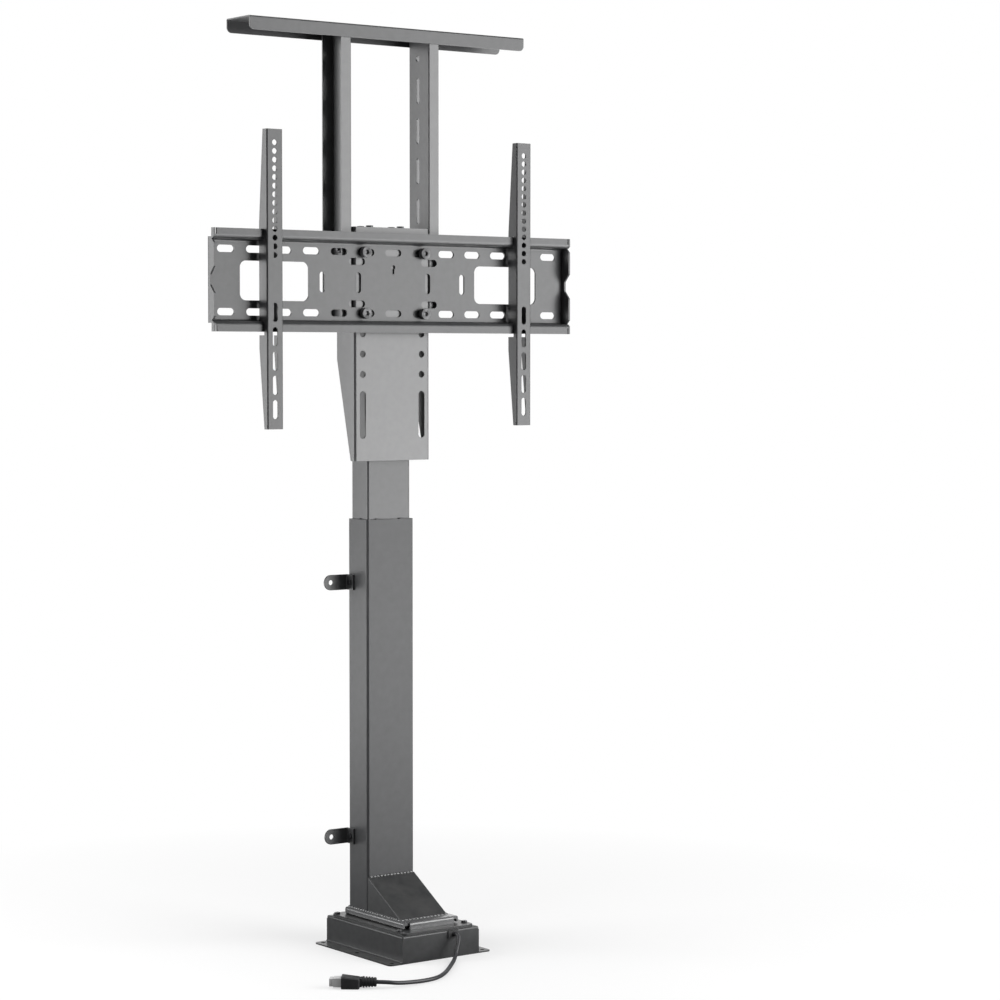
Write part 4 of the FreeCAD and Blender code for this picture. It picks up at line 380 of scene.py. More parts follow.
def fill_jacket(sheet: NodeSheet, start: Node, end: Node) -> None:
    """Extruded jacket: fine swells stretched along the cable, with a fine matt grain."""
    place, scale = start.outputs["Place"], start.outputs["Scale"]
    swells = sheet.noise(place, sheet.times(scale, 0.25), Detail=2.0)
    grain = sheet.noise(place, scale, Detail=2.0)
    sheet.feed(end.inputs["Height"], sheet.weighed(swells, 0.6, grain, 0.4))


def fill_mask(sheet: NodeSheet, start: Node, end: Node) -> None:
    """Raised tracks under a circuit board's solder mask."""
    tracks = sheet.add("ShaderNodeTexBrick", Vector=start.outputs["Place"], Scale=start.outputs["Scale"],
                       Mortar_Size=0.06, Brick_Width=1.4, Row_Height=0.5)
    sheet.feed(end.inputs["Height"], tracks.outputs["Fac"])


GRAIN_FILLS = {
    Grain.POWDER: fill_powder,
    Grain.MOULDED: fill_moulded,
    Grain.TURNED: fill_turned,
    Grain.CAST: fill_cast,
    Grain.JACKET: fill_jacket,
    Grain.MASK: fill_mask,
}


class FinishBuilder:
    """Builds the node material of one finish."""

    rub_and_highlight_gain = 1.9
    rub_and_highlight_lift = 0.02
    rub_polish = -0.12
    dust_colour = (0.32, 0.31, 0.29, 1.0)
    dust_roughness = 0.3
    drift_roughness = 0.8
    bump_strength = 0.6

    def __init__(self, finish: Finish) -> None:
        """Starts a material for a finish.

        Args:
            finish: The finish to build.
        """
        self.finish = finish
        self.material = bpy.data.materials.new(finish.name)
        self.material.use_nodes = True
        self.sheet = NodeSheet(self.material.node_tree)
        self.place = self.sheet.add("ShaderNodeTexCoord").outputs["Object"]

    def effect(self, tree: Tree, **values: Any) -> Node:
        """Places a shared effect with this finish's own values."""
        item = self.sheet.add("ShaderNodeGroup", node_tree=tree)
        self.sheet.feed(item.inputs["Place"], self.place)
        for title, value in values.items():
            self.sheet.feed(item.inputs[title], value)
        return item

    def build(self) -> bpy.types.Material:
        """Joins the shared effects to the shader and returns the material."""
        finish, sheet = self.finish, self.sheet
        shader = self.material.node_tree.nodes["Principled BSDF"]
        drift = self.effect(
            shared_group("tone drift", {"Colour": WHITE, "Amount": 0.1, "Scale": 300.0},
                         {"Colour": "NodeSocketColor", "Swing": "NodeSocketFloat"}, fill_tone_drift),
            Colour=(*finish.colour, 1.0), Amount=finish.drift, Scale=finish.grain_scale * 0.4)
        rub_and_highlight, dust = [
            self.effect(shared_group(title, {"Amount": 0.1}, {"Mask": "NodeSocketFloat"}, fill), Amount=share)
            for title, fill, share in (("edge wear and highlight", fill_edge_rub_and_highlight, finish.rub_and_highlight),
                                       ("settled dust", fill_settled_dust, finish.dust))]
        grain = self.effect(
            shared_group(finish.grain.value, {"Scale": 500.0}, {"Height": "NodeSocketFloat"},
                         GRAIN_FILLS[finish.grain]),
            Scale=finish.grain_scale)
        # Edges in the rim mask are laid lighter: partly wear, partly a painted highlight along them.
        lighter = tuple(min(1.0, part * self.rub_and_highlight_gain + self.rub_and_highlight_lift) for part in finish.colour)
        rubbed_and_highlit = sheet.laid(rub_and_highlight.outputs["Mask"], drift.outputs["Colour"], (*(finish.bare_and_highlight or lighter), 1.0))
        sheet.feed(shader.inputs["Base Color"], sheet.laid(dust.outputs["Mask"], rubbed_and_highlit, self.dust_colour))
        uneven = sheet.times(drift.outputs["Swing"], self.drift_roughness)
        rougher = sheet.plus(sheet.times(dust.outputs["Mask"], self.dust_roughness), uneven)
        change = sheet.plus(rougher, sheet.times(rub_and_highlight.outputs["Mask"], self.rub_polish))
        sheet.feed(shader.inputs["Roughness"], sheet.maths("ADD", change, finish.roughness, clamp=True))
        shader.inputs["Metallic"].default_value = finish.metallic
        shader.inputs["Coat Weight"].default_value = finish.coat
        shader.inputs["Specular IOR Level"].default_value = finish.specular
        bump = sheet.add("ShaderNodeBump", Height=grain.outputs["Height"], Distance=finish.grain_depth * MM,
                         Strength=self.bump_strength)
        sheet.feed(shader.inputs["Normal"], bump.outputs["Normal"])
        return self.material


@dataclass(frozen=True)
class Bend:
    """A wider rounding for some of a piece's edges.

    Args:
        width: How far the rounding reaches from the edge.
        picks: Says whether the middle of an edge belongs to it.
        segments: Steps of the rounding.
        worn_and_lit: Whether its rim is laid lighter, as an outer edge is: wear, and a painted highlight.
    """

    width: float
    picks: Picker
    segments: int = 4
    worn_and_lit: bool = True


class Workshop:
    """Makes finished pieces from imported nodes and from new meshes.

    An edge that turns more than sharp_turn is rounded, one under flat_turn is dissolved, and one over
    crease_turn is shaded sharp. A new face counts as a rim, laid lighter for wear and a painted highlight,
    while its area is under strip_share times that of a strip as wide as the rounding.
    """

    sharp_turn = math.radians(34.0)
    flat_turn = math.radians(0.6)
    crease_turn = math.radians(48.0)
    strip_share = 1.25

    def __init__(self, frame: dict[str, Any]) -> None:
        """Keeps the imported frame.
        """
        self.nodes = frame["nodes"]
        self.slots = {row["node"]: row["material_slot"] for row in frame["record"]["subparts"]}
        self.bodies = {
            name: body for body, names in frame["record"]["behaviour"]["bodies"].items() for name in names
        }
        self.dressed: set[str] = set()

    def place(self, name: str, bm: Shape, body: str, finish: Finish) -> bpy.types.Object:
        """Turns a bmesh into a piece that rides on a body.

        Args:
            name: The piece's name.
            bm: The shape, in the row frame. It is freed.
            body: The body that it moves with.
            finish: Its finish.

        Returns:
            The new object.
        """
        for face in bm.faces:
            face.smooth = True
        for edge in bm.edges:
            if len(edge.link_faces) == 2 and edge.calc_face_angle(0.0) > self.crease_turn:
                edge.smooth = False
        mesh = bpy.data.meshes.new(name)
        bm.to_mesh(mesh)
        bm.free()
        mesh.materials.append(finish.material())
        piece = bpy.data.objects.new(name, mesh)
        bpy.context.scene.collection.objects.link(piece)
        even = piece.modifiers.new("Even normals", "WEIGHTED_NORMAL")
        even.keep_sharp = True
        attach(piece, body)
        return piece

    def opened(self, node: str) -> Shape:
        """Returns a node's mesh with its triangles welded and its flats made whole."""
        bm = bmesh.new()
        bm.from_mesh(self.nodes[node].data)
        bmesh.ops.remove_doubles(bm, verts=bm.verts, dist=MERGE)
        bmesh.ops.dissolve_limit(bm, angle_limit=self.flat_turn, verts=bm.verts, edges=bm.edges)
        return bm

    def rounded(self, bm: Shape, edges: list[bmesh.types.BMEdge], width: float, segments: int,
                rim: bmesh.types.BMLayerItem, worn_and_lit: bool = True) -> None:
        """Rounds edges and marks the new faces as a rim where worn_and_lit is set: wear, and a painted
        highlight.
        """
        if not edges:
            return
        made = bmesh.ops.bevel(bm, geom=edges, offset=width, offset_type="OFFSET", segments=segments,
                               profile=0.5, affect="EDGES", clamp_overlap=True, material=-1)
        for face in made["faces"]:
            longest = max(edge.calc_length() for edge in face.edges)
            if worn_and_lit and face.calc_area() < self.strip_share * width * longest:
                for loop in face.loops:
                    loop[rim] = (1.0, 1.0, 1.0, 1.0)

    def dress(self, node: str, finish: Finish | None = None, edge: float = 0.3 * MM,
              bends: Sequence[Bend] = (), segments: int = 2,
              mould: Callable[[Shape], None] | None = None) -> bpy.types.Object:
        """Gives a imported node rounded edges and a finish.

        Args:
            node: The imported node.
            finish: Its finish, or None for the finish of its slot.
            edge: Width of the rounding on its sharp edges, 0 for none.
            bends: Wider roundings for some edges, made first.
            segments: Steps of the ordinary rounding.
            mould: Presses the mesh into its finer shape before its edges are rounded.

        Returns:
            The piece that stands for the node.
        """
        bm = self.opened(node)
        if mould:
            mould(bm)
        rim = bm.loops.layers.float_color.new(RIM)
        for bend in bends:
            chosen = [e for e in self.sharp_edges(bm) if bend.picks((e.verts[0].co + e.verts[1].co) / 2)]
            self.rounded(bm, chosen, bend.width, bend.segments, rim, bend.worn_and_lit)
        if edge > 0.0:
            self.rounded(bm, self.sharp_edges(bm), edge, segments, rim)
        finish = finish or SLOT_FINISHES[self.slots[node]]
        piece = self.place(node + "_finished", bm, self.bodies[node], finish)
        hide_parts(node)
        self.dressed.add(node)
        return piece

    def sharp_edges(self, bm: Shape) -> list[bmesh.types.BMEdge]:
        """Returns the edges between two faces that meet at a corner."""
        return [e for e in bm.edges if len(e.link_faces) == 2 and e.calc_face_angle(0.0) > self.sharp_turn]

    def coat(self, node: str) -> None:
        """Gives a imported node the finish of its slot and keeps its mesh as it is."""
        thing = self.nodes[node]
        thing.data.materials.clear()
        thing.data.materials.append(SLOT_FINISHES[self.slots[node]].material())
        self.dressed.add(node)

    def left_over(self) -> list[str]:
        """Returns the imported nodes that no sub-assembly has dressed yet."""
        return sorted(set(self.nodes) - self.dressed)


def turned(bm: Shape, outline: Sequence[Span], centre: Vector, steps: int) -> None:
    """Spins an outline about the Y axis into a closed round solid.

    Args:
        bm: The bmesh to add to.
        outline: Pairs of radius and distance along Y.
        centre: Where distance 0 is.
        steps: Faces round the turn.
    """
    points = [bm.verts.new(centre + ACROSS * radius + BACKWARDS * run) for radius, run in outline]
    edges = [bm.edges.new(pair) for pair in zip(points, points[1:])]
    made = bmesh.ops.spin(bm, geom=points + edges, cent=centre, axis=BACKWARDS, angle=math.tau, steps=steps,
                          use_merge=True, use_duplicate=False)
    last = {item for item in made["geom_last"] if isinstance(item, bmesh.types.BMVert)}
    linked = connected(last | set(points))
    bmesh.ops.remove_doubles(bm, verts=list(linked), dist=MERGE)
    faces = list({face for vert in linked if vert.is_valid for face in vert.link_faces})
    bmesh.ops.recalc_face_normals(bm, faces=faces)


def connected(start: set[bmesh.types.BMVert]) -> set[bmesh.types.BMVert]:
    """Returns every vertex that edges join to the given ones."""
    seen: set[bmesh.types.BMVert] = set()
    fresh = start
    while fresh:
        seen |= fresh
        fresh = {edge.other_vert(vert) for vert in fresh for edge in vert.link_edges} - seen
    return seen


@dataclass
class WeldBead:
    """A fillet weld: overlapping flattened ripples along a seam.

    Args:
        radius: Half the bead's width.
        pitch: Distance between ripples.
        height: How far the bead stands off, as a share of its radius.
        fill: Half a ripple's length, as a share of the pitch.
        sway: How much the ripples differ in size.
    """

    radius: float = 2.0 * MM
    pitch: float = 6.4 * MM
    height: float = 0.85
    fill: float = 0.62
    sway: float = 0.12

    def run(self, bm: Shape, start: Vector, end: Vector, lean: Vector) -> None:
        """Lays ripples from start to end.

        Args:
            bm: The bmesh to add to.
            start: The seam's first point.
            end: The seam's last point.
            lean: The direction in which each ripple stands off the seam.
        """
        span = end - start
        count = max(2, round(span.length / self.pitch))
        along = span.normalized()
        lean = lean.normalized()
        side = along.cross(lean).normalized()
        turn = Matrix((along, side, lean)).transposed().to_4x4()
        for index in range(count):
            middle = start + span * ((index + 0.5) / count)
            width = self.radius * (1.0 + self.sway * (math.sin(index * 2.3) + 0.5 * math.sin(index * 5.1)))
            size = Matrix.Diagonal((self.pitch * self.fill, width, width * self.height, 1.0))
            spot = Matrix.Translation(middle) @ turn @ size
            bmesh.ops.create_icosphere(bm, subdivisions=2, radius=1.0, matrix=spot)


@dataclass
class Assembly:
    """A sub-assembly whose pieces a workshop dresses.

    Each kind names its pieces in edges, with the width of their rounded edges in millimetres, and
    gives the finishes and steps that differ from the ordinary ones.

    Args:
        shop: The workshop.
    """

    shop: Workshop
    edges: ClassVar[dict[str, float]] = {}
    finishes: ClassVar[dict[str, Finish]] = {}
    steps: ClassVar[dict[str, int]] = {}

    def build(self) -> None:
        """Dresses the pieces in order."""
        for node, edge in self.edges.items():
            self.shop.dress(node, self.finishes.get(node), edge=edge * MM, segments=self.steps.get(node, 2))


@dataclass
class FloorBox(Assembly):
    """The folded floor box, its lid and closing plate, and the screws of the lid.

    Args:
        wall_reach: The side walls' distance from the middle.
        foot_fold: Fillet of the fold between a wall and its flange.
        corner_fold: Rounding of the upright corners.
        fold_top: Height that the fold's edges stay under.
        corner_start: Height at which the upright corners start.
        lid_edge: Rounding of the lid's edges.
        screw_head: Radius of a lid screw's head.
        screw_dome: Rounding of that head.
    """

    wall_reach: float = 70.0 * MM
    foot_fold: float = 1.6 * MM
    corner_fold: float = 0.7 * MM
    fold_top: float = 5.0 * MM
    corner_start: float = 6.0 * MM
    lid_edge: float = 0.45 * MM
    screw_head: float = 4.5 * MM
    screw_dome: float = 1.1 * MM

    def build(self) -> None:
        """Dresses the box and what is screwed to it."""
        near = 0.15 * MM
        low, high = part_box("base_box")
        # The box, its lid and closing plate take the darker copy of the coat: painted shade.
        self.shop.dress("base_box", PAINTED_SHADE_BASE_COAT, edge=0.35 * MM, bends=[
            # The fold at each wall's foot is laid lighter along its rim: wear and a painted highlight along
            # the fold.
            Bend(self.foot_fold, lambda p: self.on_wall(p, near) and near < p.z < self.fold_top),
            Bend(self.corner_fold, lambda p: self.on_wall(p, near) and abs(p.y - low.y) < near
                 and self.corner_start < p.z < high.z - near, segments=2, worn_and_lit=False)])
        self.shop.dress("base_lid", PAINTED_SHADE_BASE_COAT, edge=self.lid_edge)
        self.shop.dress("bottom_plate", PAINTED_SHADE_BASE_COAT, edge=0.25 * MM)
        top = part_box("lid_screws")[1].z
        # The rim of each screw's dome is laid lighter: wear and a painted highlight.
        self.shop.dress("lid_screws", SCREW_BLACK, edge=0.2 * MM, bends=[
            Bend(self.screw_dome, lambda p: p.z > top - NEAR and self.on_rim(p))])

    def on_wall(self, point: Vector, near: float) -> bool:
        """Says whether a point lies on the outside of a side wall."""
        return abs(abs(point.x) - self.wall_reach) < near

    def on_rim(self, point: Vector) -> bool:
        """Says whether a point lies on the outer edge of a lid screw's head."""
        low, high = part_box("lid_screws")
        head = self.screw_head
        centres = [(x, y) for x in (low.x + head, high.x - head) for y in (low.y + head, high.y - head)]
        return any(abs(math.hypot(point.x - x, point.y - y) - head) < 0.3 * MM for x, y in centres)


class ColumnFoot(Assembly):
    """The raised plate under the column and the gusset in front of it, with their welds."""

    edges = {"column_plate": 0.3, "gusset": 0.8}
    # The plate takes the lighter copy of the coat, painted light; the gusset the darker one, painted shade.
    finishes = {"column_plate": PAINTED_LIGHT_FOOT_COAT, "gusset": PAINTED_SHADE_BASE_COAT}
    steps = {"gusset": 3}
    bead = WeldBead()
    stand_off = 0.5 * MM
    end_gap = 3.0 * MM

    def build(self) -> None:
        """Dresses the plate and the gusset, and lays the welds."""
        super().build()
        self.welds()

    def welds(self) -> None:
        """Lays the weld beads round the foot of the column and the gusset."""
        low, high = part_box("gusset")
        tube_low, tube_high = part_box("outer_tube")
        left, right = tube_low.x, tube_high.x
        rear, front, toe = tube_high.y, tube_low.y, low.y
        out, gap = self.stand_off, self.end_gap
        seams = [
            ((left - out, rear, low.z), (left - out, toe, low.z), (-1, 0, 1)),
            ((right + out, rear, low.z), (right + out, toe, low.z), (1, 0, 1)),
            ((left, rear + out, low.z), (right, rear + out, low.z), (0, 1, 1)),
            ((left, toe - out, low.z), (right, toe - out, low.z), (0, -1, 1)),
            ((left + gap, front - out, high.z), (right - gap, front - out, high.z), (0, -1, 1)),
        ]
        bm = bmesh.new()
        for start, end, lean in seams:
            self.bead.run(bm, Vector(start), Vector(end), Vector(lean))
        # The beads take a lighter coat than the column: painted highlights.
        self.shop.place("foot_welds", bm, "base", PAINTED_LIGHT_WELD_COAT)


class LiftColumn(Assembly):
    """The two tubes with their plastic guides and the cap on the inner tube."""

    edges = {"outer_tube": 0.35, "inner_tube": 0.35, "tube_cap": 0.4, "upper_glide": 0.3, "lower_glide": 0.3}
    # The outer tube takes the darker copy of the coat: painted shade.
    finishes = {"outer_tube": PAINTED_SHADE_COLUMN_COAT}


class Drive(Assembly):
    """The lifting screw with its nut, and the worm gear motor that turns it."""

    edges = dict.fromkeys((
        "lifting_screw", "screw_stop", "worm_wheel", "worm_shaft", "rotor", "motor_magnets", "motor_can",
        "motor_end_cap", "gear_case", "gear_cover", "gear_case_screws", "screw_bearing", "nut_carrier",
        "travelling_nut", "carrier_screws"), 0.2)


class ControlUnit(Assembly):
    """The plastic box with the circuit board inside the floor box."""

    edges = {"control_housing": 0.6, "control_board": 0.15}


class WallClips(Assembly):
    """The two angle clips on the column's side and their screws."""

    edges = {"lower_wall_clip": 0.5, "upper_wall_clip": 0.5, "clip_screws": 0.6}
    steps = {"clip_screws": 3}


class HeadBracket(Assembly):
    """The folded bracket over the column's top, and its bolts."""

    edges = {"head_bracket": 0.4, "head_bolts": 0.5}
    # The bracket takes the lighter copy of the coat: painted light.
    finishes = {"head_bracket": PAINTED_LIGHT_COAT}


@dataclass
class ScreenPlate(Assembly):
    """The slotted plate that the arms hang on, with its bolts, washers and nuts.

    Args:
        sheet: Thickness of the plate's sheet.
        flange_edge: Rounding of the end flanges' inner front edges.
        head_radius: Radius of a bolt's head.
        head_edge: Rounding of the head.
        socket_radius: Corner radius of its hexagon socket.
        socket_depth: Depth of the socket.
        dish: Width of the dished rim round the socket.
        floor_radius: Corner radius of the lighter floor in the socket, which is painted light.
        floor_flat: Radius of that floor's flat middle.
        floor_slope: How far its rim lies deeper than the middle.
        floor_depth: Thickness of that floor.
        thread_radius: Radius of a bolt's shank.
        thread_rise: How far the thread's crest stands over the shank.
        thread_pitch: Pitch of the thread behind the nuts.
    """

    sheet: float = 3.0 * MM
    flange_edge: float = 1.0 * MM
    head_radius: float = 8.2 * MM
    head_edge: float = 0.8 * MM
    socket_radius: float = 3.6 * MM
    socket_depth: float = 4.0 * MM
    dish: float = 1.9 * MM
    floor_radius: float = 3.05 * MM
    floor_flat: float = 1.6 * MM
    floor_slope: float = 0.35 * MM
    floor_depth: float = 0.6 * MM
    thread_radius: float = 4.0 * MM
    thread_rise: float = 0.22 * MM
    thread_pitch: float = 1.25 * MM

    def build(self) -> None:
        """Dresses the plate and its fasteners."""
        low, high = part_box("screen_plate")
        front, fold = low.y, high.x - self.sheet
        self.shop.dress("screen_plate", edge=0.35 * MM, bends=[
            Bend(self.flange_edge, lambda p: abs(abs(p.x) - fold) < NEAR and p.y < front + NEAR, segments=3,
                 worn_and_lit=False)])
        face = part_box("plate_bolts")[0].y
        rim, mouth = self.head_radius - 0.4 * MM, self.socket_radius + NEAR
        # The outer edge of each head is laid pale grey: a painted highlight round the head.
        self.shop.dress("plate_bolts", DULL_BLACK, edge=0.25 * MM, bends=[
            Bend(self.head_edge, lambda p: p.y < face + NEAR and self.off_centre(p) > rim, segments=3),
            Bend(self.dish, lambda p: p.y < face + NEAR and self.off_centre(p) < mouth, segments=3,
                 worn_and_lit=False)])
        self.shop.dress("plate_washers", edge=0.3 * MM)
        self.shop.dress("plate_nuts", edge=0.4 * MM)
        self.recesses(face)
        self.threads(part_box("plate_nuts")[1].y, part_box("plate_bolts")[1].y)

    def centres(self) -> list[Span]:
        """Returns the X and Z of the four bolts."""
        low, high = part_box("plate_bolts")
        return [(x, z) for x in (low.x + self.head_radius, high.x - self.head_radius)
                for z in (low.z + self.head_radius, high.z - self.head_radius)]

    def off_centre(self, point: Vector) -> float:
        """Returns how far a point is from the axis of its bolt."""
        return min(math.hypot(point.x - x, point.z - z) for x, z in self.centres())

    def recesses(self, face: float) -> None:
        """Lays a lighter grey floor in each bolt's socket: painted light on the socket's floor.

        Args:
            face: Where the heads' front faces are along Y.
        """
        bm = bmesh.new()
        outline = [(0.0, 0.0), (self.floor_flat, 0.0), (self.floor_radius, self.floor_slope),
                   (self.floor_radius, self.floor_depth), (0.0, self.floor_depth)]
        for x, z in self.centres():
            turned(bm, outline, Vector((x, face + self.socket_depth - self.floor_depth, z)), steps=6)
        # The socket floors are lighter grey: painted light.
        self.shop.place("plate_bolt_recesses", bm, "carriage", PAINTED_LIGHT_RECESS)

    def threads(self, start: float, end: float) -> None:
        """Cuts a thread on each bolt's end behind its nut.

        Args:
            start: The nuts' rear along Y.
            end: The bolts' ends along Y.
        """
        bm = bmesh.new()
        crest = self.thread_radius + self.thread_rise
        root = self.thread_radius + 0.03 * MM
        core = self.thread_radius - 0.5 * MM
        turns = max(1, int((end - start - 0.3 * MM) / self.thread_pitch))
        outline = [(core, 0.0), (root, 0.0)]
        for index in range(turns):
            outline += [(radius, (index + share) * self.thread_pitch)
                        for radius, share in ((crest, 0.4), (crest, 0.6), (root, 1.0))]
        outline += [(core, turns * self.thread_pitch), outline[0]]
        for x, z in self.centres():
            turned(bm, outline, Vector((x, start, z)), steps=24)
        self.shop.place("plate_bolt_threads", bm, "carriage", BLACK_OXIDE)


class ScreenArms(Assembly):
    """The two arms that hook over the plate."""

    edges = {"left_screen_arm": 0.35, "right_screen_arm": 0.35}


class Mast(Assembly):
    """The two uprights, what clamps them, and the lid tray."""

    edges = {"left_upright": 0.35, "right_upright": 0.35, "tray": 0.35, "tray_screws": 0.4,
             "mast_spacers": 0.3, "mast_bolts": 0.3, "mast_washers": 0.3, "mast_nuts": 0.3}
    # The uprights take the lighter copy of the coat: painted light.
    finishes = {"left_upright": PAINTED_LIGHT_COAT, "right_upright": PAINTED_LIGHT_COAT}


@dataclass
class ControlCable(Assembly):
    """The short lead that leaves the floor box and ends in a connector.

    Args:
        diameter: The lead's diameter.
        length: Its real length, all of it in view. Not used.
        back_drop: How far the connector's top falls towards the strain relief.
        drop_power: How much of that fall gathers at the strain relief.
        collar_share: Where along the insert its collar ends.
        collar_step: How much smaller the insert is past the collar.
        collar_slope: How long the slope between the two is.
        route: The points that the lead passes, in millimetres.
    """

    diameter: float = 6.0 * MM
    length: float = 280.0 * MM
    back_drop: float = 3.4 * MM
    drop_power: float = 1.5
    collar_share: float = 0.68
    collar_step: float = 0.14
    collar_slope: float = 0.25 * MM
    route: tuple[Point, ...] = (
        (24.0, -162.2, 35.3), (23.8, -170.9, 35.3), (20.5, -175.9, 28.0), (16.4, -177.6, 19.0),
        (11.4, -181.0, 9.6), (1.5, -190.4, 3.5), (-15.5, -208.5, 3.5), (-36.0, -230.0, 3.5),
        (-60.0, -253.8, 3.5), (-86.0, -272.8, 3.5), (-112.0, -278.2, 3.5), (-137.0, -277.6, 4.2),
        (-162.0, -279.2, 6.6), (-178.64, -273.46, 9.3), (-188.74, -265.28, 9.3),
    )

    def build(self) -> None:
        """Makes the lead, its grommet, strain relief and connector."""
        self.shop.dress("cable_grommet", edge=0.5 * MM)
        relief = self.shop.dress("strain_relief", edge=0.4 * MM)
        shell = self.shop.dress("connector_shell", edge=0.6 * MM, mould=self.lower_back)
        insert = self.shop.dress("connector_insert", edge=0.3 * MM, mould=self.step_insert)
        lead = self.lead()

    def axis(self) -> tuple[Vector, Vector]:
        """Returns the middle of the strain relief and the connector's direction."""
        relief, insert = [sum(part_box(node), Vector()) / 2 for node in ("strain_relief", "connector_insert")]
        way = insert - relief
        way.z = 0.0
        return relief, way.normalized()

    def step_insert(self, bm: Shape) -> None:
        """Makes the insert's outer part a little smaller, which leaves a collar at the shell."""
        start, way = self.axis()
        runs = [(vert.co - start).dot(way) for vert in bm.verts]
        collar = start + way * (min(runs) + (max(runs) - min(runs)) * self.collar_share)
        middle = sum(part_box("connector_insert"), Vector()) / 2
        side = Vector((-way.y, way.x, 0.0))
        for gap in (0.0, self.collar_slope):
            bmesh.ops.bisect_plane(bm, geom=bm.verts[:] + bm.edges[:] + bm.faces[:], dist=0.001 * MM,
                                   plane_co=collar + way * gap, plane_no=way)
        for vert in bm.verts:
            if (vert.co - collar).dot(way) > NEAR:
                off = vert.co - middle
                vert.co -= side * off.dot(side) * self.collar_step
                vert.co.z -= off.z * self.collar_step

    def lower_back(self, bm: Shape) -> None:
        """Lets the shell's top fall towards the strain relief."""
        low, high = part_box("connector_shell")
        start, way = self.axis()
        runs = [(vert.co - start).dot(way) for vert in bm.verts]
        first, length = min(runs), max(runs) - min(runs)
        middle = (low.z + high.z) / 2
        for vert, run in zip(bm.verts, runs):
            if vert.co.z > middle:
                fall = self.back_drop * (1.0 - (run - first) / length) ** self.drop_power
                vert.co.z -= fall * (vert.co.z - middle) / (high.z - middle)

    def lead(self) -> bpy.types.Object:
        """Makes the lead as a smooth curve through the route's points."""
        curve = bpy.data.curves.new("control_lead", "CURVE")
        curve.dimensions = "3D"
        curve.resolution_u = 16
        curve.bevel_depth = self.diameter / 2
        curve.bevel_resolution = 6
        curve.use_fill_caps = True
        spline = curve.splines.new("NURBS")
        spline.points.add(len(self.route) - 1)
        for point, spot in zip(spline.points, self.route):
            point.co = (*[part * MM for part in spot], 1.0)
        spline.order_u = 3
        spline.use_endpoint_u = True
        curve.materials.append(JACKET.material())
        lead = bpy.data.objects.new("control_lead", curve)
        bpy.context.scene.collection.objects.link(lead)
        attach(lead, "base")
        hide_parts("cable")
        self.shop.dressed.add("cable")
        return lead


@dataclass(frozen=True)
class Lamp:
    """One large soft lamp.

    Args:
        name: The lamp's name.
        spot: Where it stands.
        width: Its width.
        height: Its height.
        power: Its power in watts.
        target: What it faces.
    """

    name: str
    spot: Point
    width: float
    height: float
    power: float
    target: Point = (0.0, 0.0, 0.9)

    def build(self) -> None:
        """Adds the lamp to the scene."""
        data = bpy.data.lights.new(self.name, "AREA")
        data.shape = "RECTANGLE"
        data.size = self.width
        data.size_y = self.height
        data.energy = self.power
        lamp = bpy.data.objects.new(self.name, data)
        lamp.location = self.spot
        lamp.rotation_euler = (Vector(self.target) - Vector(self.spot)).to_track_quat("-Z", "Y").to_euler()
        lamp.visible_camera = False
        bpy.context.scene.collection.objects.link(lamp)


LAMPS = (
    Lamp("front softbox", (1.15, -1.55, 1.02), 1.6, 2.04, 54.0),
    Lamp("left softbox", (-1.27, 0.87, 0.95), 1.1, 1.8, 29.0),
    Lamp("right softbox", (3.4, 3.6, 1.2), 3.0, 2.2, 27.0),
    Lamp("near softbox", (-2.2, -2.6, 3.8), 1.6, 1.6, 7.0),
    Lamp("connector lamp", (-0.78, -0.30, 0.52), 0.2, 0.2, 1.3, target=(-0.22, -0.24, 0.01)),
    Lamp("top softbox", (0.6, 0.4, 4.2), 2.0, 2.0, 40.0),
)


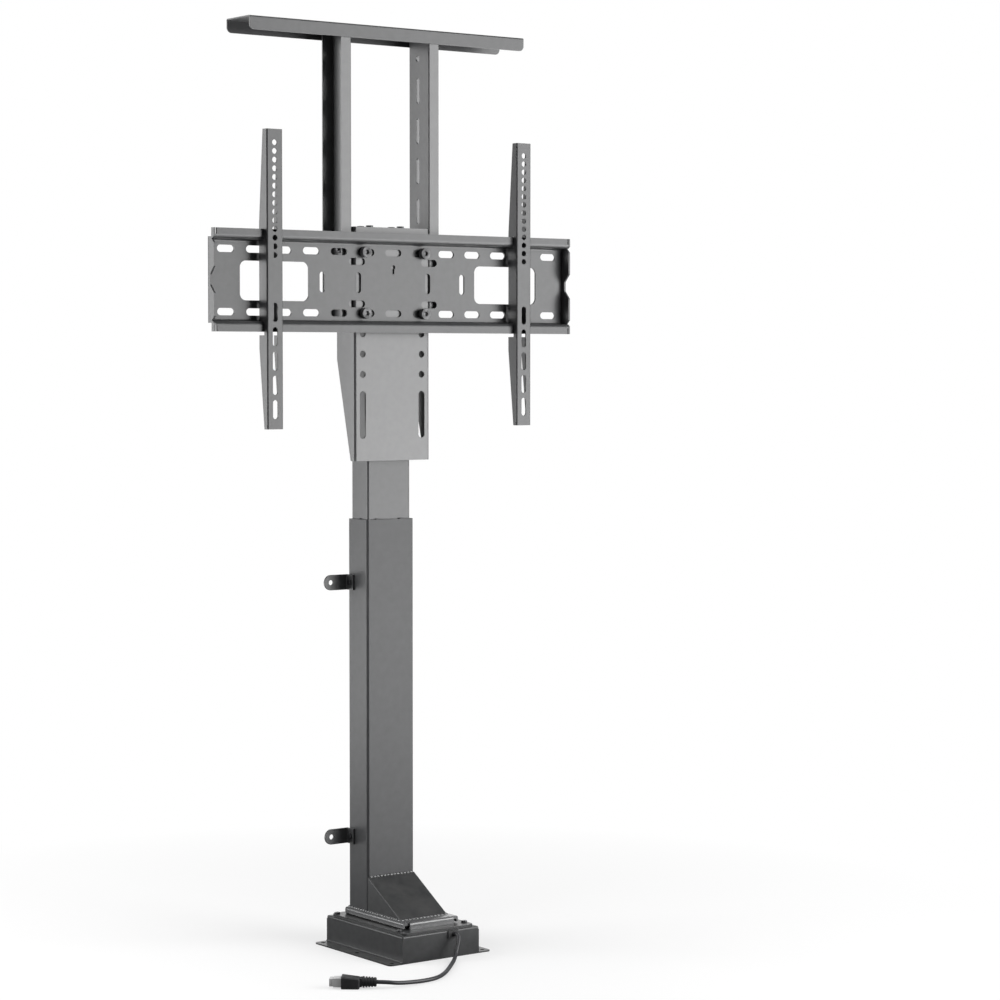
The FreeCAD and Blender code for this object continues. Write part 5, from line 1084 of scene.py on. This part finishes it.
@dataclass(frozen=True)
class StudioFloor:
    """A pale plain floor that fades into the backdrop.

    In reflections it is dark round the lift, pale behind it and far to its left, and bright in front of
    the column, as if cards lay there. Each pair says where a change starts and ends.

    Args:
        radius: The floor's radius.
        fade: Distances between which the floor turns pure white.
        near_white: Share of pure white under the lift.
        seen_tone: The floor's grey beside the pure white.
        bounce_tone: Its grey for the light that it throws back.
        card_right: The bright card's left edge.
        card_front: Its rear edge, measured forwards.
        card: Its brightness.
        behind_edge: Front edge of the pale part behind the lift.
        behind: Its brightness.
        left_edge: Right edge of the pale part on the left, measured to the left.
        left: Its brightness.
        dark: Brightness of what is left.
    """

    radius: float = 6.0
    fade: Span = (0.2, 1.1)
    near_white: float = 0.55
    seen_tone: float = 0.92
    bounce_tone: float = 0.10
    card_right: Span = (0.12, 0.30)
    card_front: Span = (0.25, 0.48)
    card: float = 3.4
    behind_edge: Span = (0.45, 1.0)
    behind: float = 1.3
    left_edge: Span = (0.9, 1.4)
    left: float = 1.2
    dark: float = 0.15

    def build(self) -> None:
        """Adds the floor to the scene."""
        bm = bmesh.new()
        bmesh.ops.create_circle(bm, cap_ends=True, radius=self.radius, segments=96)
        mesh = bpy.data.meshes.new("studio_floor")
        bm.to_mesh(mesh)
        bm.free()
        mesh.materials.append(self.material())
        ground = bpy.data.objects.new("studio_floor", mesh)
        bpy.context.scene.collection.objects.link(ground)

    def material(self) -> bpy.types.Material:
        """Returns the floor's material, which the camera and reflections see differently."""
        material = bpy.data.materials.new("studio_white")
        material.use_nodes = True
        material.node_tree.nodes.clear()
        sheet = NodeSheet(material.node_tree)
        place = sheet.add("ShaderNodeTexCoord").outputs["Object"]
        paths = sheet.add("ShaderNodeLightPath").outputs
        seen, glossy = paths["Is Camera Ray"], paths["Is Glossy Ray"]
        reach = sheet.add("ShaderNodeVectorMath", operation="LENGTH", i0=place).outputs["Value"]
        far = sheet.plus(sheet.times(sheet.ramp(reach, *self.fade), 1.0 - self.near_white), self.near_white)
        shown = sheet.maths("ADD", sheet.times(seen, far), glossy, clamp=True)
        bright = sheet.plus(seen, sheet.times(glossy, self.mirrored(sheet, place)))
        bounced, direct = [(tone, tone, tone, 1.0) for tone in (self.bounce_tone, self.seen_tone)]
        matt = sheet.add("ShaderNodeBsdfDiffuse", Color=sheet.laid(seen, bounced, direct))
        glow = sheet.add("ShaderNodeEmission", Color=WHITE, Strength=bright)
        mixed = sheet.add("ShaderNodeMixShader", i0=shown, i1=matt.outputs[0], i2=glow.outputs[0])
        sheet.add("ShaderNodeOutputMaterial", Surface=mixed.outputs[0])
        return material

    def mirrored(self, sheet: NodeSheet, place: Socket) -> Socket:
        """Returns how bright the floor is in reflections."""
        parts = sheet.add("ShaderNodeSeparateXYZ", i0=place).outputs
        right, back = parts["X"], parts["Y"]
        left, front = sheet.times(right, -1.0), sheet.times(back, -1.0)
        card = sheet.times(sheet.ramp(right, *self.card_right), sheet.ramp(front, *self.card_front))
        behind = sheet.times(sheet.ramp(back, *self.behind_edge), self.behind)
        beside = sheet.times(sheet.ramp(left, *self.left_edge), self.left)
        pale = sheet.plus(sheet.plus(behind, beside), self.dark)
        return sheet.plus(sheet.times(card, self.card), pale)


@dataclass(frozen=True)
class Studio:
    """Pale floor, soft lamps and the camera at the photograph's angle.

    Args:
        eye: The camera's place.
        yaw: Its turn about Z, in degrees.
        pitch: Its dip below the horizon, in degrees.
        roll: Its turn about its own view, in degrees.
        lens: Its focal length in millimetres.
        sensor: The width of its sensor in millimetres.
        air: Strength of the even light from all round.
    """

    eye: Point = (-2.40406, -3.54338, 0.89542)
    yaw: float = -36.6
    pitch: float = -2.85
    roll: float = 0.03
    lens: float = 100.606
    sensor: float = 36.0
    air: float = 0.04

    def build(self) -> None:
        """Makes the floor, the world, the lamps and the camera."""
        StudioFloor().build()
        self.world()
        for lamp in LAMPS:
            lamp.build()
        self.camera()
        bpy.context.scene.view_settings.view_transform = "Standard"

    def world(self) -> None:
        """Lights the scene evenly, and shows white behind it."""
        world = bpy.data.worlds.new("studio_air")
        world.use_nodes = True
        world.node_tree.nodes.clear()
        bpy.context.scene.world = world
        sheet = NodeSheet(world.node_tree)
        seen = sheet.add("ShaderNodeLightPath").outputs["Is Camera Ray"]
        air = sheet.add("ShaderNodeBackground", Color=WHITE, Strength=self.air)
        white = sheet.add("ShaderNodeBackground", Color=WHITE, Strength=1.0)
        mixed = sheet.add("ShaderNodeMixShader", i0=seen, i1=air.outputs[0], i2=white.outputs[0])
        sheet.add("ShaderNodeOutputWorld", Surface=mixed.outputs[0])

    def camera(self) -> None:
        """Stands the camera where the photograph was taken from."""
        data = bpy.data.cameras.new("photograph")
        data.sensor_width = self.sensor
        data.lens = self.lens
        data.clip_end = 50.0
        camera = bpy.data.objects.new("photograph", data)
        camera.location = self.eye
        turns = ((self.yaw, "Z"), (90.0 + self.pitch, "X"), (self.roll, "Z"))
        yaw, pitch, roll = [Matrix.Rotation(math.radians(angle), 4, axis) for angle, axis in turns]
        camera.rotation_euler = (yaw @ pitch @ roll).to_euler()
        bpy.context.scene.collection.objects.link(camera)
        bpy.context.scene.camera = camera


def main() -> None:
    """Builds the sub-assemblies in order, from the floor up, and then the studio."""
    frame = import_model()
    shop = Workshop(frame)
    for part in (FloorBox(shop), ColumnFoot(shop), LiftColumn(shop), Drive(shop), ControlUnit(shop),
                 WallClips(shop), HeadBracket(shop), ScreenPlate(shop), ScreenArms(shop), Mast(shop),
                 ControlCable(shop)):
        part.build()
        LOG.info("built %s", type(part).__name__)
    for node in shop.left_over():
        shop.coat(node)
        LOG.info("coated %s", node)
    Studio().build()


if __name__ == "__main__":
    logging.basicConfig(level=logging.INFO, format="%(message)s")
    main()
